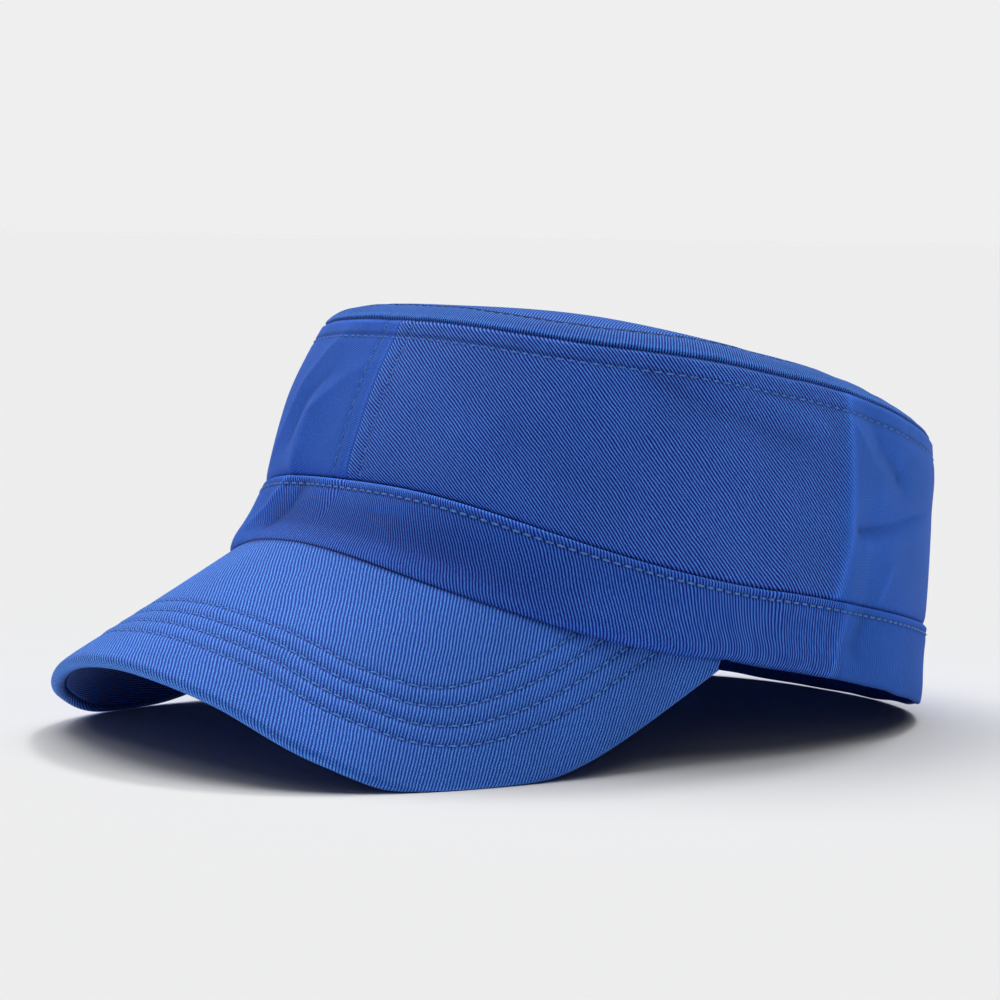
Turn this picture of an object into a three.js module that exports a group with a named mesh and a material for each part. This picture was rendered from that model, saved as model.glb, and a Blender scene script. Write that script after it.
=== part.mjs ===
// A flat-topped cotton twill cap: two crown panels, an oval top, a sewn band and an arched peak.
// Millimetres, +Z up. The peak points along -Y and +X is the wearer's left.
// Every piece is first worked out with the cap upright, as worn. It is then leaned back until
// it rests on the floor by the two corners of the peak and the rear of the hem.
import * as THREE from "three";

// Cloth thicknesses and the clearance between neighbouring pieces
const CROWN_CLOTH = 1.5;
const BAND_CLOTH = 1.6;
const PEAK_UPPER_CLOTH = 2.2;
const PEAK_UNDER_CLOTH = 1.3;
const SEAM_GAP = 0.3;

// Driving sizes of the head opening and of the crown
const HALF_WIDTH = 83.1;
const FRONT_LENGTH = 98.7;
const BACK_LENGTH = 98.2;
const BAND_FRONT = 17.5;
const BAND_BACK = 20.6;
const FOLD_RISE = 29.2;
const PANEL_HEIGHT = 55.4;
const PANEL_SWELL = 0.8;
const TOP_STRIP = 6.2;
const TOP_STRIP_RISE = 4.4;
const TOP_DOME = 8.5;
const BAND_ROLL = 2.0;

// Driving sizes of the peak
const PEAK_LENGTH = 58.7;
const PEAK_SLOPE = 33;
const PEAK_END_ANGLE = 82.3;
const PEAK_ROLL_SHARE = 1.083;
const PEAK_TURN = 51.9;
const PEAK_TIGHTEN = 9.1;
const PEAK_STEEPEST = 85;
const PEAK_SPLAY = 0.12;
const PEAK_TUCK = 4.5;
const PEAK_LIP = 1.2;
const PEAK_END_THINNING = 0.5;
const THINNING_START = 0.8;

// How deep the resting cloth is pressed flat where it meets the floor
const FLOOR_PRESS = 0.4;

// The lean is sought between this many degrees forward and back
const MOST_LEAN = 40;
const LEAN_HALVINGS = 50;

// Finishes of the dyed twill
const CROWN_FINISH = { color: 0x2f5cb0, roughness: 0.85 };
const BAND_FINISH = { color: 0x3562b5, roughness: 0.85 };
const PEAK_FINISH = { color: 0x3a6cc4, roughness: 0.85 };
const UNDERSIDE_FINISH = { color: 0x24438c, roughness: 0.9 };

// Steps of the meshes, and the rows along them as shares of the way. The rim's direction is read
// this many degrees to each side, and the roll of the peak is worked out to twice its span.
const FRONT_STEPS = 18;
const REAR_STEPS = 21;
const PANEL_ROWS = 8;
const RIM_ARC_STEPS = 4;
const RIM_PROBE = 0.5;
const ROLL_STEPS = 60;
const ROLL_REACH = 2;
const PEAK_ROWS = [0.85, 0.6, 0.3, 0];
const TOP_SCALES = [1, 0.8, 0.55, 0.28, 0];
const MERGED = 0.001;

// Plans of the cap at its three levels, as shares of the half width and of the lengths forward
// and back. Squareness 2 is an ellipse, and a higher one has fuller corners.
const PLANS = {
  hem: { width: 1, front: 1, back: 1, frontSquare: 2.35, backSquare: 2.41 },
  fold: { width: 0.983, front: 0.862, back: 1.012, frontSquare: 2.78, backSquare: 2.39 },
  seam: { width: 0.928, front: 0.725, back: 0.966, frontSquare: 2.62, backSquare: 2.46 },
};

// Heights round the cap at the front, front quarter, side, rear quarter and back. The fold of
// the band is in shares of FOLD_RISE, and the panels above it in shares of PANEL_HEIGHT.
const FOLD_SHARES = [1, 0.753, 0.408, 0.155, 0];
const PANEL_SHARES = [0.788, 0.872, 1, 0.93, 0.97];

// The band's cross-section from the hem to the fold: how far it stands out, in shares of
// BAND_ROLL. The crown panels reach down behind it as far as the row at TUCK_SHARE.
const TUCK_SHARE = 0.7;
const BAND_PROFILE = [
  { share: 0, out: 0 },
  { share: 0.1, out: 0.8 },
  { share: 0.24, out: 1 },
  { share: 0.45, out: 0.3 },
  { share: TUCK_SHARE, out: 0 },
  { share: 1, out: 0 },
];

// The peak's reach from the hem to its rim, in shares of PEAK_LENGTH, against the share of the
// way from the middle of the front to the peak's end
const PEAK_REACH = [
  { share: 0, reach: 1 },
  { share: 0.25, reach: 1.001 },
  { share: 0.5, reach: 1.047 },
  { share: 0.75, reach: 0.993 },
  { share: 0.9, reach: 0.638 },
  { share: 1, reach: 0.03 },
];

// Soft folds of the crown panels. Each runs between two places given by an angle round the cap
// in degrees, where the front is 0 and the wearer's left 90, and a share of the panel's height.
// Width and depth are shares of PANEL_HEIGHT, and a negative depth is a dent.
const CROWN_FOLDS = [
  { name: "left corner", angle: 100, share: 0.04, toAngle: 100, toShare: 0.96, width: 0.11, depth: 0.03 },
  { name: "left dent", angle: 103, share: 0.78, toAngle: 114, toShare: 0.52, width: 0.11, depth: -0.045 },
  { name: "left fold", angle: 106, share: 0.3, toAngle: 122, toShare: 0.4, width: 0.11, depth: -0.035 },
  { name: "right ridge", angle: -24, share: 0.94, toAngle: -38, toShare: 0.04, width: 0.09, depth: 0.022 },
  { name: "right valley", angle: -17, share: 0.9, toAngle: -30, toShare: 0.04, width: 0.1, depth: -0.025 },
  { name: "right corner", angle: -104, share: 0.04, toAngle: -104, toShare: 0.96, width: 0.12, depth: 0.025 },
  { name: "right dent", angle: -112, share: 0.7, toAngle: -130, toShare: 0.4, width: 0.14, depth: -0.04 },
];

const DEGREE = Math.PI / 180;
const peakEnd = PEAK_END_ANGLE * DEGREE;
const slope = PEAK_SLOPE * DEGREE;

// A value raised to a power with its sign kept.
function signedPower(value, power) {
  return Math.sign(value) * Math.abs(value) ** power;
}

// A point of a level's plan: a superellipse whose front and back halves have their own lengths.
function planPoint(plan, angle) {
  const ahead = Math.cos(angle) >= 0;
  const power = 2 / (ahead ? plan.frontSquare : plan.backSquare);
  const length = ahead ? plan.front * FRONT_LENGTH : plan.back * BACK_LENGTH;
  return {
    x: plan.width * HALF_WIDTH * signedPower(Math.sin(angle), power),
    y: -length * signedPower(Math.cos(angle), power),
  };
}

// The smooth curve of cosines that passes through values at equal steps from front to back. A
// scale below 1 gives the smooth surface that this curve bounds, nearer to its middle.
function roundTheCap(values) {
  const last = values.length - 1;
  const weights = values.map((unused, wave) => {
    const sum = values.reduce((total, value, place) => {
      const half = place % last === 0 ? 0.5 : 1;
      return total + half * value * Math.cos((Math.PI * place * wave) / last);
    }, 0);
    return (sum * (wave % last === 0 ? 1 : 2)) / last;
  });
  return (angle, scale = 1) =>
    weights.reduce((total, weight, wave) => total + weight * scale ** wave * Math.cos(wave * angle), 0);
}

// A smooth curve through the rows of a table, level at its first row.
function alongTable(rows, key, share) {
  const next = Math.min(Math.max(rows.findIndex((row) => row.share >= share), 1), rows.length - 1);
  const slopeAt = (i) => {
    const before = rows[Math.max(i - 1, 0)];
    const after = rows[Math.min(i + 1, rows.length - 1)];
    return i === 0 ? 0 : (after[key] - before[key]) / (after.share - before.share);
  };
  const [low, high] = [rows[next - 1], rows[next]];
  const width = high.share - low.share;
  const t = (share - low.share) / width;
  const rise = high[key] - low[key];
  const ease = t * t * (3 - 2 * t);
  const start = t * (1 - t) ** 2 * slopeAt(next - 1) * width;
  const end = t * t * (t - 1) * slopeAt(next) * width;
  return low[key] + rise * ease + start + end;
}

// The peak is a flat blank rolled round an axis that slopes down towards the front. Its turn
// grows with the distance from the middle line, a little faster towards the ends. Each row
// holds the distance along the cloth with the sideways reach and the drop that it gives.
const rollSpan = PEAK_ROLL_SHARE * HALF_WIDTH;
const rollStep = rollSpan / ROLL_STEPS;

function rollTurn(distance) {
  const share = Math.abs(distance) / rollSpan;
  return Math.min(PEAK_TURN * share + PEAK_TIGHTEN * share ** 3, PEAK_STEEPEST) * DEGREE;
}

const rollRows = [{ cloth: 0, across: 0, drop: 0 }];
while (rollRows.at(-1).cloth < ROLL_REACH * rollSpan) {
  const { cloth, across, drop } = rollRows.at(-1);
  const turn = rollTurn(cloth + rollStep / 2);
  rollRows.push({
    cloth: cloth + rollStep,
    across: across + rollStep * Math.cos(turn),
    drop: drop + rollStep * Math.sin(turn),
  });
}

// Reads one column of the roll's rows against another.
function rollLookup(from, to, value) {
  const next = Math.max(1, rollRows.findIndex((row) => row[from] >= Math.abs(value)));
  const [low, high] = [rollRows[next - 1], rollRows[next]];
  const t = (Math.abs(value) - low[from]) / (high[from] - low[from]);
  return low[to] + t * (high[to] - low[to]);
}

const foldHeight = roundTheCap(FOLD_SHARES.map((share) => share * FOLD_RISE));
const panelHeight = roundTheCap(PANEL_SHARES.map((share) => share * PANEL_HEIGHT));
const hemFront = foldHeight(0) - BAND_FRONT;

// A point of the rolled blank: along is measured from the middle line, ahead from the hem.
function peakPoint(along, ahead) {
  const drop = rollLookup("cloth", "drop", along);
  return new THREE.Vector3(
    Math.sign(along) * rollLookup("cloth", "across", along),
    -FRONT_LENGTH - ahead * Math.cos(slope) + drop * Math.sin(slope),
    hemFront - ahead * Math.sin(slope) - drop * Math.cos(slope),
  );
}

// The two directions along the rolled blank and its normal, which points up.
function peakAxes(along) {
  const turn = Math.sign(along) * rollTurn(along);
  const sideways = new THREE.Vector3(
    Math.cos(turn),
    Math.sin(turn) * Math.sin(slope),
    -Math.sin(turn) * Math.cos(slope),
  );
  const forward = new THREE.Vector3(0, -Math.cos(slope), -Math.sin(slope));
  return { sideways, forward, up: forward.clone().cross(sideways) };
}

// Where a point of the plan lies on the blank.
function onBlank(x, y) {
  const along = Math.sign(x) * rollLookup("across", "cloth", x);
  const drop = rollLookup("across", "drop", x);
  return { along, ahead: (-(y + FRONT_LENGTH) + drop * Math.sin(slope)) / Math.cos(slope) };
}

// The height at which an edge stands a seam gap clear of the blank, measured square to it.
function seatHeight(x, y) {
  const { along, ahead } = onBlank(x, y);
  return peakPoint(along, ahead).z + SEAM_GAP / peakAxes(along).up.z;
}

// The hem lies on the peak as far as the peak's end, and then eases down to the back.
const hemEnd = planPoint(PLANS.hem, peakEnd);
const hemEndHeight = seatHeight(hemEnd.x, hemEnd.y);
const hemBack = foldHeight(Math.PI) - BAND_BACK;

function hemHeight(angle, x, y) {
  const turned = Math.abs(angle);
  if (turned <= peakEnd) {
    return seatHeight(x, y);
  }
  const share = (turned - peakEnd) / (Math.PI - peakEnd);
  return hemEndHeight + (hemBack - hemEndHeight) * Math.sin((share * Math.PI) / 2);
}

// The outward horizontal direction of a plan.
function planNormal(plan, angle) {
  const before = planPoint(plan, angle - DEGREE);
  const after = planPoint(plan, angle + DEGREE);
  const length = Math.hypot(after.x - before.x, after.y - before.y);
  return { x: (after.y - before.y) / length, y: -(after.x - before.x) / length };
}

// A point of the band's wall: share 0 is the hem and 1 the fold, inset is measured inwards.
function bandPoint(angle, share, inset) {
  const hem = planPoint(PLANS.hem, angle);
  const fold = planPoint(PLANS.fold, angle);
  const normal = planNormal(PLANS.hem, angle);
  const row = BAND_PROFILE.find((candidate) => candidate.share === share);
  const out = row.out * BAND_ROLL - inset;
  const x = hem.x + (fold.x - hem.x) * share + normal.x * out;
  const y = hem.y + (fold.y - hem.y) * share + normal.y * out;
  const footInset = Math.min(inset, BAND_CLOTH);
  const foot = hemHeight(angle, hem.x - normal.x * footInset, hem.y - normal.y * footInset);
  return new THREE.Vector3(x, y, foot + (foldHeight(angle) - foot) * share);
}

// The depth of the folds at a place on a panel, laid out flat at the cap's mean radius. Each
// fold is a smooth groove or ridge along a line.
function foldDepth(angle, height) {
  const radius = (FRONT_LENGTH + HALF_WIDTH) / 2;
  const place = new THREE.Vector2(angle * radius, height * PANEL_HEIGHT);
  return CROWN_FOLDS.reduce((total, fold) => {
    const start = new THREE.Vector2(fold.angle * DEGREE * radius, fold.share * PANEL_HEIGHT);
    const line = new THREE.Vector2(fold.toAngle * DEGREE * radius, fold.toShare * PANEL_HEIGHT);
    line.sub(start);
    const share = THREE.MathUtils.clamp(place.clone().sub(start).dot(line) / line.lengthSq(), 0, 1);
    const distance = place.distanceTo(start.addScaledVector(line, share));
    const ratio = distance / (fold.width * PANEL_HEIGHT);
    return total + fold.depth * PANEL_HEIGHT * Math.exp(-ratio * ratio);
  }, 0);
}

// A point of a crown panel's wall, on a row behind the band or at a height above the fold, where
// 1 is the seam under the top. Inset is measured inwards from the outer face.
function panelPoint(angle, row, inset) {
  const behindBand = BAND_CLOTH + SEAM_GAP;
  if (row.band) {
    return bandPoint(angle, row.band, behindBand + inset);
  }
  const foot = bandPoint(angle, 1, behindBand);
  const seam = planPoint(PLANS.seam, angle);
  const normal = planNormal(PLANS.seam, angle);
  const arch = Math.max(0, Math.sin(Math.PI * row.height));
  const out = PANEL_SWELL * arch + foldDepth(angle, row.height) * Math.sqrt(arch) - inset;
  const top = panelHeight(angle) - (CROWN_CLOTH + SEAM_GAP) / 2;
  return new THREE.Vector3(
    foot.x + (seam.x - foot.x) * row.height + normal.x * out,
    foot.y + (seam.y - foot.y) * row.height + normal.y * out,
    foldHeight(angle) + top * row.height,
  );
}

// A point of the top: on its outer edge, or inside the sloping strip at a scale down to 0 in
// the middle. Under is how far below the upper face it lies.
function topPoint(angle, row, under) {
  const seam = planPoint(PLANS.seam, angle);
  const radius = Math.hypot(seam.x, seam.y);
  const inside = row.edge ? 1 : ((radius - TOP_STRIP) / radius) * row.scale;
  const level = foldHeight(angle, row.edge ? 1 : row.scale) + panelHeight(angle, row.edge ? 1 : row.scale);
  const rise = row.edge ? 0 : TOP_STRIP_RISE + TOP_DOME * (1 - row.scale ** 2);
  const face = level + (CROWN_CLOTH + SEAM_GAP) / 2;
  return new THREE.Vector3(seam.x * inside, seam.y * inside, face + rise - under);
}

// The rim of the flat blank at an angle round the cap.
function blankRim(angle) {
  const hem = planPoint(PLANS.hem, angle);
  const place = onBlank(hem.x, hem.y);
  const reach = PEAK_LENGTH * alongTable(PEAK_REACH, "reach", Math.abs(angle) / peakEnd);
  const splay = PEAK_SPLAY * angle;
  return { along: place.along + reach * Math.sin(splay), ahead: place.ahead + reach * Math.cos(splay) };
}

// The section of the peak at an angle: its start inside the band, its rim, the direction out of
// the rim, and its thicknesses, which thin towards the peak's ends.
function peakSection(angle) {
  const hem = planPoint(PLANS.hem, angle);
  const normal = planNormal(PLANS.hem, angle);
  const before = blankRim(Math.max(angle - RIM_PROBE * DEGREE, -peakEnd));
  const after = blankRim(Math.min(angle + RIM_PROBE * DEGREE, peakEnd));
  const length = Math.hypot(after.along - before.along, after.ahead - before.ahead);
  const tuck = PEAK_TUCK * Math.cos(rollTurn(onBlank(hem.x, hem.y).along));
  const thinning = THREE.MathUtils.smoothstep(Math.abs(angle) / peakEnd, THINNING_START, 1);
  const full = 1 - (1 - PEAK_END_THINNING) * thinning;
  const upper = PEAK_UPPER_CLOTH * full;
  const thickness = upper + SEAM_GAP + PEAK_UNDER_CLOTH * full;
  return {
    start: onBlank(hem.x - normal.x * tuck, hem.y - normal.y * tuck),
    rim: blankRim(angle),
    out: {
      along: -(after.ahead - before.ahead) / length,
      ahead: (after.along - before.along) / length,
    },
    upper,
    thickness,
    radius: thickness / 2,
    lip: thickness / 2 + PEAK_LIP * full,
  };
}

// Where the blank lies at a share of the way from a section's start to an inset from its rim.
function onSection(section, inset, share) {
  const { start, rim, out } = section;
  return {
    along: start.along + (rim.along - out.along * inset - start.along) * share,
    ahead: start.ahead + (rim.ahead - out.ahead * inset - start.ahead) * share,
  };
}

// A point of a section at a depth under the peak's upper face.
function sectionPoint(section, inset, share, depth) {
  const { along, ahead } = onSection(section, inset, share);
  return peakPoint(along, ahead).addScaledVector(peakAxes(along).up, -depth);
}

// A point of the rolled edge, turned from straight up through outwards to straight down.
function rolledEdgePoint(section, turn) {
  const { along } = onSection(section, section.radius, 1);
  const { sideways, forward, up } = peakAxes(along);
  const reach = section.radius * Math.sin(turn);
  return sectionPoint(section, section.radius, 1, section.radius)
    .addScaledVector(sideways, section.out.along * reach)
    .addScaledVector(forward, section.out.ahead * reach)
    .addScaledVector(up, section.radius * Math.cos(turn));
}

// The upper cloth from the lip under its rolled edge, round the edge and back to the band.
function peakUpperColumn(angle) {
  const section = peakSection(angle);
  const outer = [];
  const inner = [];
  for (let step = 0; step <= RIM_ARC_STEPS; step += 1) {
    const share = step / RIM_ARC_STEPS;
    const depth = THREE.MathUtils.lerp(section.thickness, section.upper, share);
    outer.push(rolledEdgePoint(section, Math.PI * (1 - share)));
    inner.push(sectionPoint(section, section.lip, 1, depth));
  }
  PEAK_ROWS.forEach((share) => {
    outer.push(sectionPoint(section, section.radius, share, 0));
    inner.push(sectionPoint(section, section.lip, share, section.upper));
  });
  return { outer, inner };
}

// The under cloth, which ends against the lip of the rolled edge.
function peakUnderColumn(angle) {
  const section = peakSection(angle);
  const inset = section.lip + SEAM_GAP;
  const rows = [1, ...PEAK_ROWS];
  return {
    outer: rows.map((share) => sectionPoint(section, inset, share, section.upper + SEAM_GAP)),
    inner: rows.map((share) => sectionPoint(section, inset, share, section.thickness)),
  };
}

function bandColumn(angle) {
  return {
    outer: BAND_PROFILE.map((row) => bandPoint(angle, row.share, 0)),
    inner: BAND_PROFILE.map((row) => bandPoint(angle, row.share, BAND_CLOTH)),
  };
}

// A column of a panel. At the front and back it stands half a seam gap from the middle line.
function panelColumn(angle, side) {
  const heights = Array.from({ length: PANEL_ROWS }, (unused, i) => ({ height: (i + 1) / PANEL_ROWS }));
  const rows = [{ band: TUCK_SHARE }, { band: 1 }, ...heights];
  const wall = (inset) =>
    rows.map((row) => {
      const point = panelPoint(angle, row, inset);
      point.x = side * Math.max(side * point.x, SEAM_GAP / 2);
      return point;
    });
  return { outer: wall(0), inner: wall(CROWN_CLOTH) };
}

function topColumn(angle) {
  const rows = [{ edge: true }, ...TOP_SCALES.map((scale) => ({ scale }))];
  return {
    outer: rows.map((row) => topPoint(angle, row, 0)),
    inner: rows.map((row) => topPoint(angle, row, CROWN_CLOTH)),
  };
}

// Angles of the columns: even steps along the peak, and even steps behind it.
const frontAngles = Array.from({ length: FRONT_STEPS + 1 }, (unused, i) => (peakEnd * i) / FRONT_STEPS);
const rearAngles = Array.from(
  { length: REAR_STEPS },
  (unused, i) => peakEnd + ((Math.PI - peakEnd) * (i + 1)) / REAR_STEPS,
);
const leftAngles = [...frontAngles, ...rearAngles];
const rightAngles = leftAngles.map((angle) => -angle).reverse();
const peakAngles = [...frontAngles.slice(1).map((angle) => -angle).reverse(), ...frontAngles];
const allAngles = [...rightAngles.slice(1), ...leftAngles.slice(1)];

const pieces = [
  { name: "band", columns: allAngles.map(bandColumn), wraps: true, finish: BAND_FINISH },
  { name: "crown_top", columns: allAngles.map(topColumn), wraps: true, finish: CROWN_FINISH },
  {
    name: "crown_left_panel",
    columns: leftAngles.map((angle) => panelColumn(angle, 1)),
    finish: CROWN_FINISH,
  },
  {
    name: "crown_right_panel",
    columns: rightAngles.map((angle) => panelColumn(angle, -1)),
    finish: CROWN_FINISH,
  },
  { name: "peak_upper", columns: peakAngles.map(peakUpperColumn), finish: PEAK_FINISH },
  { name: "peak_underside", columns: peakAngles.map(peakUnderColumn), finish: UNDERSIDE_FINISH },
];

// The lean at which the peak's corners and the rear of the hem are equally low, found by halving.
const pointsOf = (name) =>
  pieces.find((piece) => piece.name === name).columns.flatMap(({ outer, inner }) => [...outer, ...inner]);
const peakPoints = pointsOf("peak_upper");
const rearPoints = pointsOf("band").filter((point) => point.y > 0);

function lowest(points, lean) {
  return Math.min(...points.map((point) => point.z * Math.cos(lean) - point.y * Math.sin(lean)));
}

let [least, most] = [-MOST_LEAN * DEGREE, MOST_LEAN * DEGREE];
for (let i = 0; i < LEAN_HALVINGS; i += 1) {
  const middle = (least + most) / 2;
  if (lowest(peakPoints, middle) < lowest(rearPoints, middle)) {
    least = middle;
  } else {
    most = middle;
  }
}

// Leans every point back, sets the cap on the floor and centres it from front to back.
const turned = new THREE.Matrix4().makeRotationX(-least);
const allPoints = pieces.flatMap(({ columns }) => columns.flatMap(({ outer, inner }) => [...outer, ...inner]));
allPoints.forEach((point) => point.applyMatrix4(turned));
const bounds = new THREE.Box3().setFromPoints(allPoints);
allPoints.forEach((point) => {
  point.y -= (bounds.min.y + bounds.max.y) / 2;
  point.z = Math.max(point.z - bounds.min.z - FLOOR_PRESS, 0);
});

// A closed shell between two grids of points, which are joined round their edges. Triangles
// whose corners meet, as at the middle of the top, are left out.
function closedShell({ columns, wraps }) {
  const corners = [];
  const triangle = (a, b, c) => {
    if (a.distanceTo(b) > MERGED && b.distanceTo(c) > MERGED && c.distanceTo(a) > MERGED) {
      corners.push(a, b, c);
    }
  };
  const quad = (a, b, c, d) => {
    triangle(a, b, c);
    triangle(a, c, d);
  };
  const rows = columns[0].outer.length;
  const pairs = columns.map((column, i) => [column, columns[(i + 1) % columns.length]]);
  (wraps ? pairs : pairs.slice(0, -1)).forEach(([here, next]) => {
    for (let row = 0; row < rows - 1; row += 1) {
      quad(here.outer[row], next.outer[row], next.outer[row + 1], here.outer[row + 1]);
      quad(here.inner[row], here.inner[row + 1], next.inner[row + 1], next.inner[row]);
    }
    quad(here.inner[0], next.inner[0], next.outer[0], here.outer[0]);
    quad(here.outer.at(-1), next.outer.at(-1), next.inner.at(-1), here.inner.at(-1));
  });
  if (!wraps) {
    const [start, end] = [columns[0], columns.at(-1)];
    for (let row = 0; row < rows - 1; row += 1) {
      quad(start.inner[row], start.outer[row], start.outer[row + 1], start.inner[row + 1]);
      quad(end.outer[row], end.inner[row], end.inner[row + 1], end.outer[row + 1]);
    }
  }
  return new THREE.BufferGeometry().setFromPoints(corners);
}

function clothPiece(piece) {
  const geometry = closedShell(piece);
  geometry.computeVertexNormals();
  const mesh = new THREE.Mesh(geometry, new THREE.MeshStandardMaterial({ metalness: 0, ...piece.finish }));
  mesh.name = piece.name;
  return mesh;
}

const cap = new THREE.Group();
pieces.forEach((piece) => cap.add(clothPiece(piece)));

export default cap;
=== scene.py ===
"""A blue cotton twill cap: its sewn cloth, stitching, finishes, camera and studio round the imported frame."""

import logging
import math
from dataclasses import dataclass
from enum import Enum
from typing import Callable

import bpy
import numpy as np
from mathutils import Matrix, Vector


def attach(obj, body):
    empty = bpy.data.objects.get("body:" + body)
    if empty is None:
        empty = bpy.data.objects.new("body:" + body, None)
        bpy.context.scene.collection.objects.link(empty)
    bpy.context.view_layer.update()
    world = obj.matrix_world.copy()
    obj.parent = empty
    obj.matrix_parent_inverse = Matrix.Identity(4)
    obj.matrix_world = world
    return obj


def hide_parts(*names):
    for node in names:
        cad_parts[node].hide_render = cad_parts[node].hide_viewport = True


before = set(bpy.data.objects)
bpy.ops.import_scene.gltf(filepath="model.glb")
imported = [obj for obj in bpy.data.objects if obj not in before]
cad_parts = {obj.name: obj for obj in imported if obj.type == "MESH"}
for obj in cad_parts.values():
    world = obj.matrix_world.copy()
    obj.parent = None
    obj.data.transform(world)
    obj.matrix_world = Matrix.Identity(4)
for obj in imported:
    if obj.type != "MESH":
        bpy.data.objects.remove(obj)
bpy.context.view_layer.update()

Array = np.ndarray
Colour = tuple[float, float, float]
Table = tuple[float, ...]
Rows = list[tuple[Array, Array]]  # for each row of stitches, its points and normals
Piece = bpy.types.Object
Tree = bpy.types.NodeTree
Output = bpy.types.NodeSocket
DEGREE = math.pi / 180
MM = 0.001
ROW_STEP = 0.5  # between the places along a stitch row, in millimetres
SAMPLES = 400  # where a curve is read off a table
FAR = 99.0  # a distance past which no mark reaches
log = logging.getLogger("cap")


@dataclass(frozen=True)
class Plan:
    """A plan of the cap: shares of its half width and lengths, and how full its corners are."""

    width: float
    front: float
    back: float
    front_square: float
    back_square: float


class Level(Enum):
    """The three heights at which the cap's plan is known."""

    HEM = Plan(1.0, 1.0, 1.0, 2.35, 2.41)
    FOLD = Plan(0.983, 0.862, 1.012, 2.78, 2.39)
    SEAM = Plan(0.928, 0.725, 0.966, 2.62, 2.46)


def signed_power(value: Array, power: Array) -> Array:
    """A value raised to a power with its sign kept."""
    return np.sign(value) * np.abs(value) ** power


def smooth_table(places: Array, values: Array, at: Array) -> Array:
    """A smooth curve through a table's rows, level at its first row.

    Between two rows it is the cubic whose slope at each row is the slope from the row before
    it to the row after it.

    Args:
        places: Where the rows lie, rising.
        values: What they hold.
        at: Where the curve is read.

    Returns:
        The curve's values, shaped like at.
    """
    places, values = np.asarray(places, float), np.asarray(values, float)
    slopes = np.gradient(values, places)
    slopes[1:-1] = (values[2:] - values[:-2]) / (places[2:] - places[:-2])
    slopes[0] = 0
    low = np.clip(np.searchsorted(places, at) - 1, 0, len(places) - 2)
    width = places[low + 1] - places[low]
    t = np.clip((at - places[low]) / width, 0, 1)
    rise = (values[low + 1] - values[low]) * t * t * (3 - 2 * t)
    return values[low] + rise + width * (t * (1 - t) ** 2 * slopes[low] + t * t * (t - 1) * slopes[low + 1])


def bell(distance: Array, width: float) -> Array:
    """A smooth bump: 1 at no distance, falling to about a third at the width."""
    return np.exp(-((distance / width) ** 2))


def ease(value: Array, low: float, high: float) -> Array:
    """A smooth step from 0 at the low value to 1 at the high one."""
    t = np.clip((value - low) / (high - low), 0, 1)
    return t * t * (3 - 2 * t)


@dataclass(frozen=True)
class Change:
    """A change that comes in between two angles, in radians, and its amount."""

    low: float
    high: float
    amount: float

    def at(self, angle: Array) -> Array:
        """How far the change has come at an angle: its amount times a smooth step."""
        return self.amount * ease(angle, self.low, self.high)


@dataclass(frozen=True)
class Mark:
    """A line: how far off it lies, its half width and its strength."""

    far: float
    width: float
    strength: float


def marked(distance: Array, *marks: Mark) -> Array:
    """The strength of marks at a distance: each one's own times a bell round its line."""
    return sum(mark.strength * bell(distance - mark.far, mark.width) for mark in marks)


@dataclass(frozen=True)
class Waves:
    """Smooth random waves: their size and height in millimetres, and their seed."""

    size: float
    height: float
    seed: int
    lattice: int = 32

    def at(self, points: Array) -> Array:
        """The waves' height: seeded heights on a cubic lattice, eased from one to the next.

        Args:
            points: Places, in millimetres.

        Returns:
            Heights in millimetres, one for each place.
        """
        heights = np.random.default_rng(self.seed).uniform(-1, 1, (self.lattice,) * 3)
        place = points / self.size
        low = np.floor(place).astype(int)
        t = ease(place - low, 0, 1)
        total = np.zeros(points.shape[:-1])
        for corner in np.ndindex(2, 2, 2):
            index = (low + corner) % self.lattice
            share = np.prod(np.where(np.array(corner) == 1, t, 1 - t), axis=-1)
            total += share * heights[index[..., 0], index[..., 1], index[..., 2]]
        return self.height * total


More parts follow.
